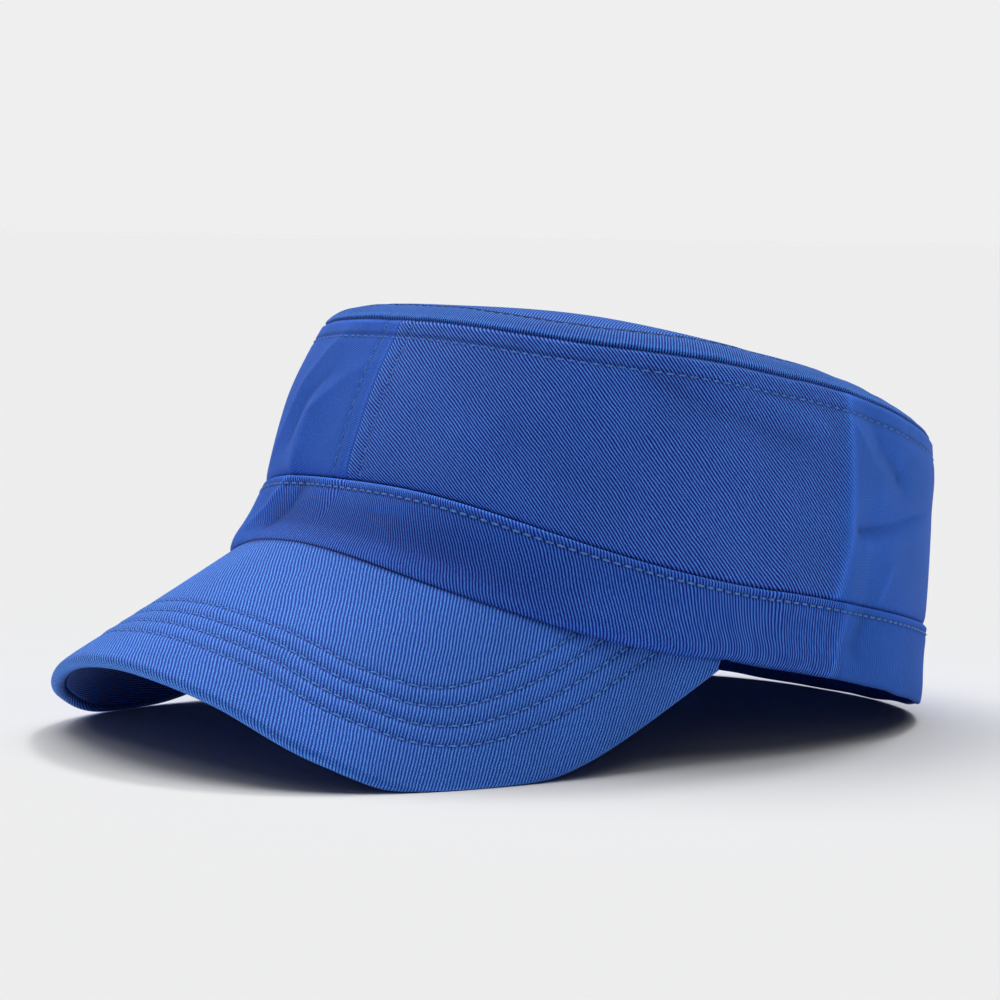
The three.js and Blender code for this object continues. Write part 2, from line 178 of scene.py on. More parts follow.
@dataclass(frozen=True)
class CapForm:
    """The cap's shape, worked out upright in millimetres and then leaned back onto the floor."""

    half_width: float = 83.1
    front_length: float = 98.7
    back_length: float = 98.2
    band_front: float = 17.5
    band_back: float = 20.6
    fold_rise: float = 29.2
    panel_height: float = 55.4
    peak_slope: float = 33 * DEGREE
    peak_end: float = 82.3 * DEGREE
    peak_turn: float = 51.9
    peak_tighten: float = 9.1
    peak_roll_share: float = 1.083
    peak_steepest: float = 85.0
    lean: float = 6.2495 * DEGREE
    middle_y: float = -24.132
    floor_z: float = -30.767
    floor_bend: float = 0.9
    fold_shares: Table = (1, 0.753, 0.408, 0.155, 0)
    panel_shares: Table = (0.788, 0.872, 1, 0.93, 0.97)

    @property
    def mean_radius(self) -> float:
        """The radius that turns angles round a wall into millimetres."""
        return (self.front_length + self.half_width) / 2

    def plan(self, level: Level, angle: Array) -> Array:
        """A level's plan: a superellipse whose front and back halves have their own lengths.

        Args:
            level: Which plan.
            angle: Round the cap, 0 at the front and positive to the wearer's left.

        Returns:
            The x and y of each angle.
        """
        shape = level.value
        ahead = np.cos(angle) >= 0
        power = 2 / np.where(ahead, shape.front_square, shape.back_square)
        length = np.where(ahead, shape.front * self.front_length, shape.back * self.back_length)
        x = shape.width * self.half_width * signed_power(np.sin(angle), power)
        return np.stack([x, -length * signed_power(np.cos(angle), power)], -1)

    def plan_normal(self, level: Level, angle: Array) -> Array:
        """The outward horizontal direction of a plan, read a degree to each side.

        Args:
            level: Which plan.
            angle: Round the cap.

        Returns:
            The x and y of each direction.
        """
        along = self.plan(level, angle + DEGREE) - self.plan(level, angle - DEGREE)
        normal = np.stack([along[..., 1], -along[..., 0]], -1)
        return normal / np.linalg.norm(normal, axis=-1, keepdims=True)

    def even_angles(self, level: Level, start: float, end: float, step: float) -> Array:
        """Angles whose points on a plan are evenly spaced.

        Args:
            level: Which plan.
            start: The first angle.
            end: The last one.
            step: About how far apart the points lie, in millimetres.

        Returns:
            The angles, rising.
        """
        dense = np.linspace(start, end, 6001)
        run = self.run_of(level, dense)
        count = max(2, int(round(run[-1] / step)) + 1)
        return np.interp(np.linspace(0, run[-1], count), run, dense)

    def run_of(self, level: Level, angle: Array) -> Array:
        """The distance round a plan from the first of some rising angles to each of them."""
        steps = np.linalg.norm(np.diff(self.plan(level, angle), axis=0), axis=1)
        return np.concatenate([[0], np.cumsum(steps)])

    def _round(self, shares: Table, total: float, angle: Array, scale: Array) -> Array:
        """The sum of cosines through values at equal steps from front to back.

        Each wave is multiplied by the scale to the power of its number, which gives the smooth
        surface inside the curve.

        Args:
            shares: The values at equal steps, as shares of the total.
            total: Millimetres.
            angle: Round the cap.
            scale: 1 on the curve and 0 in its middle.

        Returns:
            Heights in millimetres.
        """
        values = total * np.array(shares)
        last = len(values) - 1
        waves = np.arange(last + 1)
        halves = np.where(waves % last == 0, 0.5, 1)
        weights = 2 * halves / last * (np.cos(np.outer(waves, waves) * math.pi / last) @ (halves * values))
        return sum(weight * scale**wave * np.cos(wave * angle) for wave, weight in enumerate(weights))

    def fold_height(self, angle: Array, scale: Array = 1.0) -> Array:
        """The height of the band's folded upper edge."""
        return self._round(self.fold_shares, self.fold_rise, angle, scale)

    def panel_rise(self, angle: Array, scale: Array = 1.0) -> Array:
        """How far the crown seam stands above the band's folded edge."""
        return self._round(self.panel_shares, self.panel_height, angle, scale)

    def roll_turn(self, along: Array) -> Array:
        """How far the peak's cloth has turned down: by its distance and by the cube of it.

        Args:
            along: Distance along the cloth from the middle line.

        Returns:
            Angles in radians, up to the steepest.
        """
        share = np.abs(along) / (self.peak_roll_share * self.half_width)
        turn = self.peak_turn * share + self.peak_tighten * share**3
        return np.minimum(turn, self.peak_steepest) * DEGREE

    def _roll(self) -> tuple[Array, Array, Array]:
        """The roll of the peak's cloth, summed in small steps.

        Returns:
            The cloth's length from the middle line, its sideways reach and its drop.
        """
        cloth = np.linspace(0, 2 * self.peak_roll_share * self.half_width, 481)
        turn = self.roll_turn((cloth[1:] + cloth[:-1]) / 2)
        step = np.diff(cloth)
        across = np.concatenate([[0], np.cumsum(step * np.cos(turn))])
        return cloth, across, np.concatenate([[0], np.cumsum(step * np.sin(turn))])

    def peak_point(self, along: Array, ahead: Array) -> Array:
        """A point of the peak's flat cut once it is rolled round its sloping axis.

        Args:
            along: Distance along the cloth from the middle line.
            ahead: Distance along the cloth forward of the middle of the hem.

        Returns:
            The points, upright, in millimetres.
        """
        cloth, across, drop = self._roll()
        down = np.interp(np.abs(along), cloth, drop)
        x = np.sign(along) * np.interp(np.abs(along), cloth, across)
        y = -self.front_length - ahead * math.cos(self.peak_slope) + down * math.sin(self.peak_slope)
        hem = self.fold_rise - self.band_front
        z = hem - ahead * math.sin(self.peak_slope) - down * math.cos(self.peak_slope)
        return np.stack([x, y, z], -1)

    def peak_axes(self, along: Array) -> tuple[Array, Array, Array]:
        """The rolled cloth's directions.

        Args:
            along: Distance along the cloth from the middle line.

        Returns:
            Sideways, forward, and the upward normal.
        """
        turn = np.sign(along) * self.roll_turn(along)
        sin, cos = math.sin(self.peak_slope), math.cos(self.peak_slope)
        sideways = np.stack([np.cos(turn), np.sin(turn) * sin, -np.sin(turn) * cos], -1)
        forward = np.broadcast_to(np.array([0.0, -cos, -sin]), sideways.shape)
        return sideways, forward, np.cross(forward, sideways)

    def on_blank(self, x: Array, y: Array) -> tuple[Array, Array]:
        """Where a point of the plan lies on the peak's flat cut.

        Args:
            x: Sideways on the plan.
            y: Along the plan.

        Returns:
            The distances along and ahead on the cut.
        """
        cloth, across, drop = self._roll()
        along = np.sign(x) * np.interp(np.abs(x), across, cloth)
        down = np.interp(np.abs(x), across, drop)
        sin, cos = math.sin(self.peak_slope), math.cos(self.peak_slope)
        return along, (-(y + self.front_length) + down * sin) / cos

    def hem_height(self, angle: Array, inset: Array = 0.0) -> Array:
        """The hem's height: on the peak as far as its end, then down to the back by a sine.

        Args:
            angle: Round the cap.
            inset: Millimetres inwards from the hem.

        Returns:
            Heights, upright, in millimetres.
        """
        hem = self.plan(Level.HEM, angle) - self.plan_normal(Level.HEM, angle) * np.asarray(inset)[..., None]
        seat = self.peak_point(*self.on_blank(hem[..., 0], hem[..., 1]))[..., 2]
        end = self.plan(Level.HEM, np.array(self.peak_end))
        end_height = self.peak_point(*self.on_blank(end[0], end[1]))[2]
        back = self.fold_height(np.array(math.pi)) - self.band_back
        share = np.clip((np.abs(angle) - self.peak_end) / (math.pi - self.peak_end), 0, 1)
        eased = end_height + (back - end_height) * np.sin(share * math.pi / 2)
        return np.where(np.abs(angle) <= self.peak_end, seat, eased)

    def settle(self, points: Array) -> Array:
        """Leans upright points back onto the floor and bends them softly flat there.

        Args:
            points: Upright, in millimetres.

        Returns:
            Points of the resting cap, in metres.
        """
        sin, cos = math.sin(self.lean), math.cos(self.lean)
        y = points[..., 1] * cos + points[..., 2] * sin - self.middle_y
        z = points[..., 2] * cos - points[..., 1] * sin - self.floor_z
        z = (z + np.sqrt(z**2 + self.floor_bend**2)) / 2
        return np.stack([points[..., 0], y, z], -1) * MM


def build_mesh(
    name: str, points: Array, faces: list, uvs: Array | None = None, marks: dict[str, Array] | None = None
) -> Piece:
    """A smooth-shaded piece from points in metres.

    Args:
        name: The piece's name.
        points: Its vertices.
        faces: Lists of vertex numbers, counter-clockwise from outside.
        uvs: One UV pair for each face corner in order, or None.
        marks: Named values, one for each vertex, which the finishes read, or None.

    Returns:
        The new object, linked to the scene.
    """
    mesh = bpy.data.meshes.new(name)
    mesh.from_pydata(points.reshape(-1, 3).tolist(), [], faces)
    mesh.polygons.foreach_set("use_smooth", np.ones(len(mesh.polygons), bool))
    if uvs is not None:
        layer = mesh.uv_layers.new(name="cloth")
        layer.data.foreach_set("uv", np.asarray(uvs, np.float32).ravel())
    for mark, values in (marks or {}).items():
        mesh.attributes.new(mark, "FLOAT", "POINT").data.foreach_set("value", np.float32(values).ravel())
    mesh.validate()
    mesh.update()
    piece = bpy.data.objects.new(name, mesh)
    bpy.context.scene.collection.objects.link(piece)
    return piece


@dataclass
class Shell:
    """A closed wall of cloth between an outer and an inner grid of points.

    Grids are columns by rows by three. With wraps the last column joins the first, and its UVs
    go on for one more column. With capped the last rows close over a pole. Wear and painted light
    is below 0 where shade is painted into creases, seams and stitch rows of the outer face, and
    above 0 on its edges, with rubbed wear and a painted highlight; the inner face gets painted
    shade. Nap is 1 where the ribs stand clear and lower where the cloth is brushed smooth.
    """

    outer: Array
    inner: Array
    uv: Array
    wear_and_painted_light: Array
    nap: Array | float = 1.0
    # Painted shade over the whole inner face.
    inner_painted_shade: float = -0.3
    wraps: bool = False
    capped: bool = False

    def build(self, name: str, form: CapForm) -> Piece:
        """Joins the grids into one closed piece, resting on the floor.

        Args:
            name: The piece's name.
            form: The cap, which settles the points.

        Returns:
            The finished object.
        """
        columns, rows = self.outer.shape[:2]
        number = np.arange(columns * rows).reshape(columns, rows)
        if self.wraps:
            number = np.vstack([number, number[:1]])
        uv_number = np.arange(self.uv.shape[0] * rows).reshape(-1, rows)
        inside = columns * rows
        quads, corners = [], []

        def add(pattern: list[tuple[Array, int]], uv_pattern: list[Array]) -> None:
            """Adds quads from four arrays of vertex numbers and four of UV numbers."""
            quads.append(np.stack([(a + shift).ravel() for a, shift in pattern], -1))
            corners.append(np.stack([a.ravel() for a in uv_pattern], -1))

        def cell(grid: Array) -> tuple[Array, Array, Array, Array]:
            """The four corners of each cell of a grid of numbers."""
            return grid[:-1, :-1], grid[1:, :-1], grid[1:, 1:], grid[:-1, 1:]

        a, b, c, d = cell(number)
        ua, ub, uc, ud = cell(uv_number)
        add([(a, 0), (b, 0), (c, 0), (d, 0)], [ua, ub, uc, ud])
        add([(a, inside), (d, inside), (c, inside), (b, inside)], [ua, ud, uc, ub])
        first, last = number[:, 0], number[:, -1]
        u_first, u_last = uv_number[:, 0], uv_number[:, -1]
        add(
            [(first[:-1], inside), (first[1:], inside), (first[1:], 0), (first[:-1], 0)],
            [u_first[:-1], u_first[1:], u_first[1:], u_first[:-1]],
        )
        if not self.capped:
            add(
                [(last[:-1], 0), (last[1:], 0), (last[1:], inside), (last[:-1], inside)],
                [u_last[:-1], u_last[1:], u_last[1:], u_last[:-1]],
            )
        if not self.wraps:
            for column, turn in ((0, 1), (-1, -1)):
                side, u_side = number[column], uv_number[column]
                ring = [(side[:-1], inside), (side[:-1], 0), (side[1:], 0), (side[1:], inside)]
                add(ring[::turn], [u_side[:-1], u_side[:-1], u_side[1:], u_side[1:]][::turn])
        faces = np.concatenate(quads)
        uv_index = np.concatenate(corners).ravel()
        face_list = faces.tolist()
        if self.capped:
            ring = number[:-1, -1] if self.wraps else number[:, -1]
            face_list += [ring.tolist(), (ring[::-1] + inside).tolist()]
            u_ring = uv_number[: len(ring), -1]
            uv_index = np.concatenate([uv_index, u_ring, u_ring[::-1]])
        points = form.settle(np.concatenate([self.outer.reshape(-1, 3), self.inner.reshape(-1, 3)]))
        # The outer face's wear and painted light, and painted shade on the inner face.
        wear_and_painted_light = np.concatenate([self.wear_and_painted_light.ravel(), np.full(inside, self.inner_painted_shade)])
        nap = np.tile(np.broadcast_to(self.nap, self.outer.shape[:2]).ravel(), 2)
        marks = {"wear_and_painted_light": wear_and_painted_light, "nap": nap}
        return build_mesh(name, points, face_list, self.uv.reshape(-1, 2)[uv_index], marks)


@dataclass(frozen=True)
class Fold:
    """A ridge or, with a negative depth, a dent of a wall, along a line through some places.

    Places are angles in degrees and shares of the wall's height. Width, depth and softness, the
    roundness of the crest, are in millimetres. The depth is multiplied by the fade, whose two
    numbers are for the first place and the last.
    """

    path: tuple[tuple[float, float], ...]
    width: float
    depth: float
    softness: float = 2.0
    fade: tuple[float, float] = (1.0, 1.0)
    # How much a ridge's crest is paled with rubbed wear and a painted highlight and a dent darkened with
    # painted shade, the fold depth at which that is whole, and how tight it keeps to the line.
    wear_and_light_strength: float = 0.7
    wear_and_light_depth: float = 1.5
    crest: int = 5

    def strength(self, around: Array, up: Array, radius: float, tall: float) -> Array:
        """The fold's strength, 1 on its line and dying away with the distance from it.

        It is the fade times e to the minus the distance over the width, and the distance is
        rounded at the line by the softness.

        Args:
            around: Angles of the places.
            up: Shares of the wall's height.
            radius: The wall's mean radius in millimetres.
            tall: Its height in millimetres.

        Returns:
            Strengths from 0 to 1.
        """
        place = np.stack(np.broadcast_arrays(around * radius, up * tall), -1)
        knots = np.array(self.path) * (DEGREE * radius, tall)
        nearest = np.full(place.shape[:-1], np.inf)
        along = np.zeros(place.shape[:-1])
        for number, (start, end) in enumerate(zip(knots[:-1], knots[1:])):
            line = end - start
            t = np.clip((place - start) @ line / (line @ line), 0, 1)
            distance = np.linalg.norm(place - start - t[..., None] * line, axis=-1)
            along = np.where(distance < nearest, (number + t) / (len(knots) - 1), along)
            nearest = np.minimum(nearest, distance)
        rounded = np.sqrt(nearest**2 + self.softness**2) - self.softness
        return (self.fade[0] + (self.fade[1] - self.fade[0]) * along) * np.exp(-rounded / self.width)

    def height(self, around: Array, up: Array, radius: float, tall: float) -> Array:
        """The fold's height in millimetres: its depth times its strength."""
        return self.depth * self.strength(around, up, radius, tall)

    def wear_and_light(self, around: Array, up: Array, radius: float, tall: float) -> Array:
        """The fold's wear and painted light: paler on a ridge's crest with rubbed wear and a painted
        highlight, and darker deep in a dent with painted shade.
        """
        wear_and_painted_light = math.copysign(self.wear_and_light_strength * min(1.0, abs(self.depth) / self.wear_and_light_depth), self.depth)
        return wear_and_painted_light / (1 + self.softness) * self.strength(around, up, radius, tall) ** self.crest


def fold_heights(folds: tuple[Fold, ...], *place: object) -> Array:
    """The heights of several folds added up."""
    return sum(fold.height(*place) for fold in folds)


def fold_wear_and_light(folds: tuple[Fold, ...], *place: object) -> Array:
    """The wear and painted light of several folds added up."""
    return sum(fold.wear_and_light(*place) for fold in folds)


@dataclass(frozen=True)
class Thread:
    """A sewing thread: its stitches' length, the step from one to the next, and its thickness."""

    length: float
    step: float
    radius: float
    lift: float
    sink: float = 0.3
    start: float = 0.2
    end_share: float = 0.45
    rings: int = 7
    sides: int = 6

    def sew(self, name: str, rows: Rows, form: CapForm) -> Piece:
        """Sews rows of stitches as one piece.

        Each stitch is a round tube along the row, whose middle stands above the cloth by a sine
        of the way along it and whose ends sink into the cloth.

        Args:
            name: The piece's name.
            rows: For each row, points on the cloth and its outward normals.
            form: The cap, which settles the points.

        Returns:
            The joined stitches.
        """
        tubes = [self._row(points, normals) for points, normals in rows]
        centres = np.concatenate([tube for tube in tubes if len(tube)])
        count = self.rings * self.sides
        base = np.arange(count).reshape(self.rings, self.sides)
        beside = np.roll(base, -1, axis=1)
        quads = np.stack([base[:-1], beside[:-1], beside[1:], base[1:]], -1).reshape(-1, 4)
        shift = (np.arange(len(centres)) * count)[:, None, None]
        faces = (quads[None] + shift).reshape(-1, 4).tolist()
        faces += (base[0][::-1][None, None] + shift).reshape(-1, self.sides).tolist()
        faces += (base[-1][None, None] + shift).reshape(-1, self.sides).tolist()
        return build_mesh(name, form.settle(centres.reshape(-1, 3)), faces)

    def _row(self, points: Array, normals: Array) -> Array:
        """The tubes of one row's stitches.

        Args:
            points: Places along the row.
            normals: The cloth's outward normals there.

        Returns:
            Points, as stitches by rings by sides by three.
        """
        run = np.concatenate([[0], np.cumsum(np.linalg.norm(np.diff(points, axis=0), axis=1))])
        starts = np.arange(self.start * self.step, run[-1] - self.length, self.step)
        share = np.linspace(0, 1, self.rings)
        at = starts[:, None] + share * self.length

        def read(values: Array, where: Array) -> Array:
            """Reads a row of vectors at distances along it."""
            return np.stack([np.interp(where, run, values[:, k]) for k in range(3)], -1)

        centre, up = read(points, at), read(normals, at)
        up /= np.linalg.norm(up, axis=-1, keepdims=True)
        along = read(points, at + 0.3) - read(points, at - 0.3)
        along /= np.linalg.norm(along, axis=-1, keepdims=True) + 1e-9
        side = np.cross(along, up)
        arch = np.sin(math.pi * share)[:, None]
        centre = centre + up * (self.lift * arch - self.sink * (1 - arch))
        turn = np.linspace(0, 2 * math.pi, self.sides, endpoint=False)
        ring = np.cos(turn)[:, None] * side[:, :, None] + np.sin(turn)[:, None] * up[:, :, None]
        swell = self.end_share + (1 - self.end_share) * np.sqrt(np.maximum(arch, 0))
        fat = self.radius * swell[:, :, None]
        return centre[:, :, None] + ring * fat


def on_surface(surface: Callable[[Array, Array], Array], first: Array, second: Array) -> tuple[Array, Array]:
    """Points of a surface of two parameters and its normals, read by small steps.

    Args:
        surface: Gives points from the two parameters.
        first: Angles round the cap.
        second: The other parameter.

    Returns:
        The points and their outward normals.
    """
    step = 1e-3
    across = surface(first + step, second) - surface(first - step, second)
    up = surface(first, second + step) - surface(first, second - step)
    normal = np.cross(across, up)
    return surface(first, second), normal / (np.linalg.norm(normal, axis=-1, keepdims=True) + 1e-12)


class SubAssembly:
    """A part of the cap, which builds its own pieces and dresses them."""

    def build(self) -> list[Piece]:
        """Builds the pieces."""
        raise NotImplementedError

    def dress(self, outfit: tuple, sewing: "Sewing") -> list[Piece]:
        """Builds the pieces and dresses each one.

        Args:
            outfit: For each piece, its finish and the solid that it replaces, or nothing.
            sewing: Makes the materials and gives them to the pieces.

        Returns:
            The dressed pieces.
        """
        pieces = self.build()
        for piece, (finish, node) in zip(pieces, outfit):
            sewing.dress(piece, sewing.material(finish), finish.slot, node)
        return pieces


@dataclass
class Band(SubAssembly):
    """The folded strip over the crown's foot, whose lower edge is the hem."""

    form: CapForm
    cloth: float = 1.6
    column_step: float = 0.8
    rows: int = 44
    edge_rows: int = 6
    sewn_down: float = 2.3
    dent: float = 0.3
    dent_width: float = 0.8
    shares: Table = (0, 0.1, 0.24, 0.45, 0.7, 1)
    roll: float = 2.0
    outs: Table = (0, 0.8, 1, 0.3, -0.05, 0)
    right_fullness: float = 0.5
    fuller_left: Change = Change(-0.3, 0.1, 0.5)
    flatter_rear: Change = Change(1.45, 1.85, -0.85)
    least_fullness: float = 0.1
    hollow: float = 2.8
    hollow_outs: Table = (0, -0.3, -1, -0.85, -0.4, 0)
    hollow_left: Change = Change(-0.5, -0.1, 1.0)
    hollow_right: Change = Change(-1.15, -0.45, 1.0)
    hollow_flattens: float = 0.7
    # Painted shade in the hollow under the fold, by the hollow's depth.
    hollow_shade: float = 0.35
    loose_hem: Change = Change(1.5, 1.9, 1.0)
    hem_waves: Waves = Waves(11, 0.5, 13)
    waves: Waves = Waves(24, 0.35, 12)
    puckers: Waves = Waves(6.5, 0.16, 11)
    pucker_reach: float = 5.0
    # Down from the fold: a pale folded edge of rubbed wear and painted highlight, and painted shade along the
    # sewn row; along the hem, painted shade where the band meets the peak.
    wear_and_light_down: tuple[Mark, ...] = (Mark(0, 0.5, 0.7), Mark(2.3, 0.5, -0.6))
    painted_shade_hem: Mark = Mark(0, 0.7, -0.5)
    brushed_left: Change = Change(1.7, 1.78, -0.75)
    brushed_right: Change = Change(0.1, 0.5, -0.6)
    ribbed_back: Change = Change(2.3, 2.9, 0.35)
    bias_angles: Table = (-180, -10, 0, 7, 15, 24, 31, 42, 54, 66, 77, 84, 92, 180)
    bias: Table = (1.0, 1.0, 1.2, 2.0, 2.4, 2.35, 2.1, 1.65, 1.15, 0.75, 0.2, 0.0, -0.24, -0.24)
    thread: Thread = Thread(length=2.5, step=3.0, radius=0.3, lift=0.2)
    folds: tuple[Fold, ...] = ()

    def height(self, angle: Array) -> Array:
        """The band's height at an angle."""
        return self.form.fold_height(angle) - self.form.hem_height(angle)

    def point(self, angle: Array, share: Array, out: Array) -> Array:
        """A point at a share of the way from the hem to the fold, out from the wall's face.

        Args:
            angle: Round the cap.
            share: 0 at the hem and 1 at the fold.
            out: Millimetres outwards.

        Returns:
            Points, upright, in millimetres.
        """
        hem = self.form.plan(Level.HEM, angle)
        fold = self.form.plan(Level.FOLD, angle)
        normal = self.form.plan_normal(Level.HEM, angle)
        xy = hem + (fold - hem) * share[..., None] + normal * out[..., None]
        foot = self.form.hem_height(angle, np.clip(-out, 0, self.cloth))
        level = np.concatenate([hem, np.zeros_like(hem[..., :1])], -1)
        foot = foot + self.hem_waves.at(level) * self.loose_hem.at(np.abs(angle)) * (1 - share)
        return np.concatenate([xy, (foot + (self.form.fold_height(angle) - foot) * share)[..., None]], -1)

    def drawn_in(self, angle: Array) -> Array:
        """How far the front of the band is drawn in under its fold, from 0 to 1."""
        return self.hollow_left.at(angle) * self.hollow_right.at(-angle)

    def face(self, angle: Array, share: Array) -> Array:
        """How far the outer face stands out.

        It adds up the rolled profile times its fullness, the hollow where the band is drawn in,
        the folds, soft waves, puckers beside the sewn line and the dent along it.

        Args:
            angle: Round the cap.
            share: 0 at the hem and 1 at the fold.

        Returns:
            Millimetres outwards.
        """
        drawn_in = self.drawn_in(angle)
        fullness = self.right_fullness + self.fuller_left.at(angle) + self.flatter_rear.at(np.abs(angle))
        roll = self.roll * np.maximum(fullness, self.least_fullness) * (1 - self.hollow_flattens * drawn_in)
        out = roll * smooth_table(self.shares, self.outs, share)
        out = out + self.hollow * drawn_in * smooth_table(self.shares, self.hollow_outs, share)
        tall = self.height(angle)
        out = out + fold_heights(self.folds, angle, share, self.form.mean_radius, float(np.mean(tall)))
        from_row = (1 - share) * tall - self.sewn_down
        place = self.point(angle, share, out)
        puckers = self.puckers.at(place) * bell(from_row, self.pucker_reach)
        return out + self.waves.at(place) + puckers - self.dent * bell(from_row, self.dent_width)

    def wall(self, angle: Array, share: Array) -> Array:
        """A point of the outer face."""
        return self.point(angle, share, self.face(angle, share))

    def build(self) -> list[Piece]:
        """Builds the band as one closed ring, rounded at the hem and the fold, and its stitches.

        Returns:
            The band and its stitches.
        """
        angle = self.form.even_angles(Level.HEM, -math.pi, math.pi, self.column_step)[:-1]
        closed = np.append(angle, math.pi)
        tall = self.height(angle)[:, None]
        around = angle[:, None]
        round_edge = self.cloth / 2 / tall
        share = round_edge + (1 - 2 * round_edge) * np.linspace(0, 1, self.rows)[None]
        turn = np.linspace(0, math.pi / 2, self.edge_rows)
        edge = round_edge * (1 - np.sin(turn))[None]
        over = np.concatenate([edge[:, ::-1], share[:, 1:-1], 1 - edge], 1)
        bend = np.concatenate([1 - np.cos(turn[::-1]), np.zeros(self.rows - 2), 1 - np.cos(turn)])
        grid = np.broadcast_to(around, over.shape)
        face = self.face(grid, over)
        outer = self.point(grid, over, face - bend * self.cloth / 2)
        inner = self.point(grid, over, face - self.cloth + bend * self.cloth / 2)
        run = self.form.run_of(Level.HEM, closed)
        bias = np.interp(closed / DEGREE, self.bias_angles, self.bias)
        across = np.vstack([over * tall, (over * tall)[:1]])
        uv = np.stack([np.broadcast_to(run[:, None], across.shape), across * bias[:, None]], -1)
        # Wear and painted light: the pale folded edge, painted shade along the sewn row and the hem, the
        # folds' pale crests and shaded dents, and painted shade in the hollow.
        wear_and_painted_light = marked((1 - over) * tall, *self.wear_and_light_down) + marked(over * tall, self.painted_shade_hem)
        wear_and_painted_light = wear_and_painted_light + fold_wear_and_light(self.folds, grid, over, self.form.mean_radius, float(np.mean(tall)))
        pressed = smooth_table(self.shares, self.hollow_outs, over)
        wear_and_painted_light = wear_and_painted_light + self.hollow_shade * self.drawn_in(around) * pressed
        nap = 1 + self.brushed_left.at(around) + self.brushed_right.at(-around)
        nap = nap + self.ribbed_back.at(np.abs(around))
        band = Shell(outer, inner, uv, wear_and_painted_light, nap, wraps=True).build("band_cloth", self.form)
        path = self.form.even_angles(Level.FOLD, -math.pi, math.pi, ROW_STEP)
        row = on_surface(self.wall, path, 1 - self.sewn_down / self.height(path))
        return [band, self.thread.sew("band_stitches", [row], self.form)]


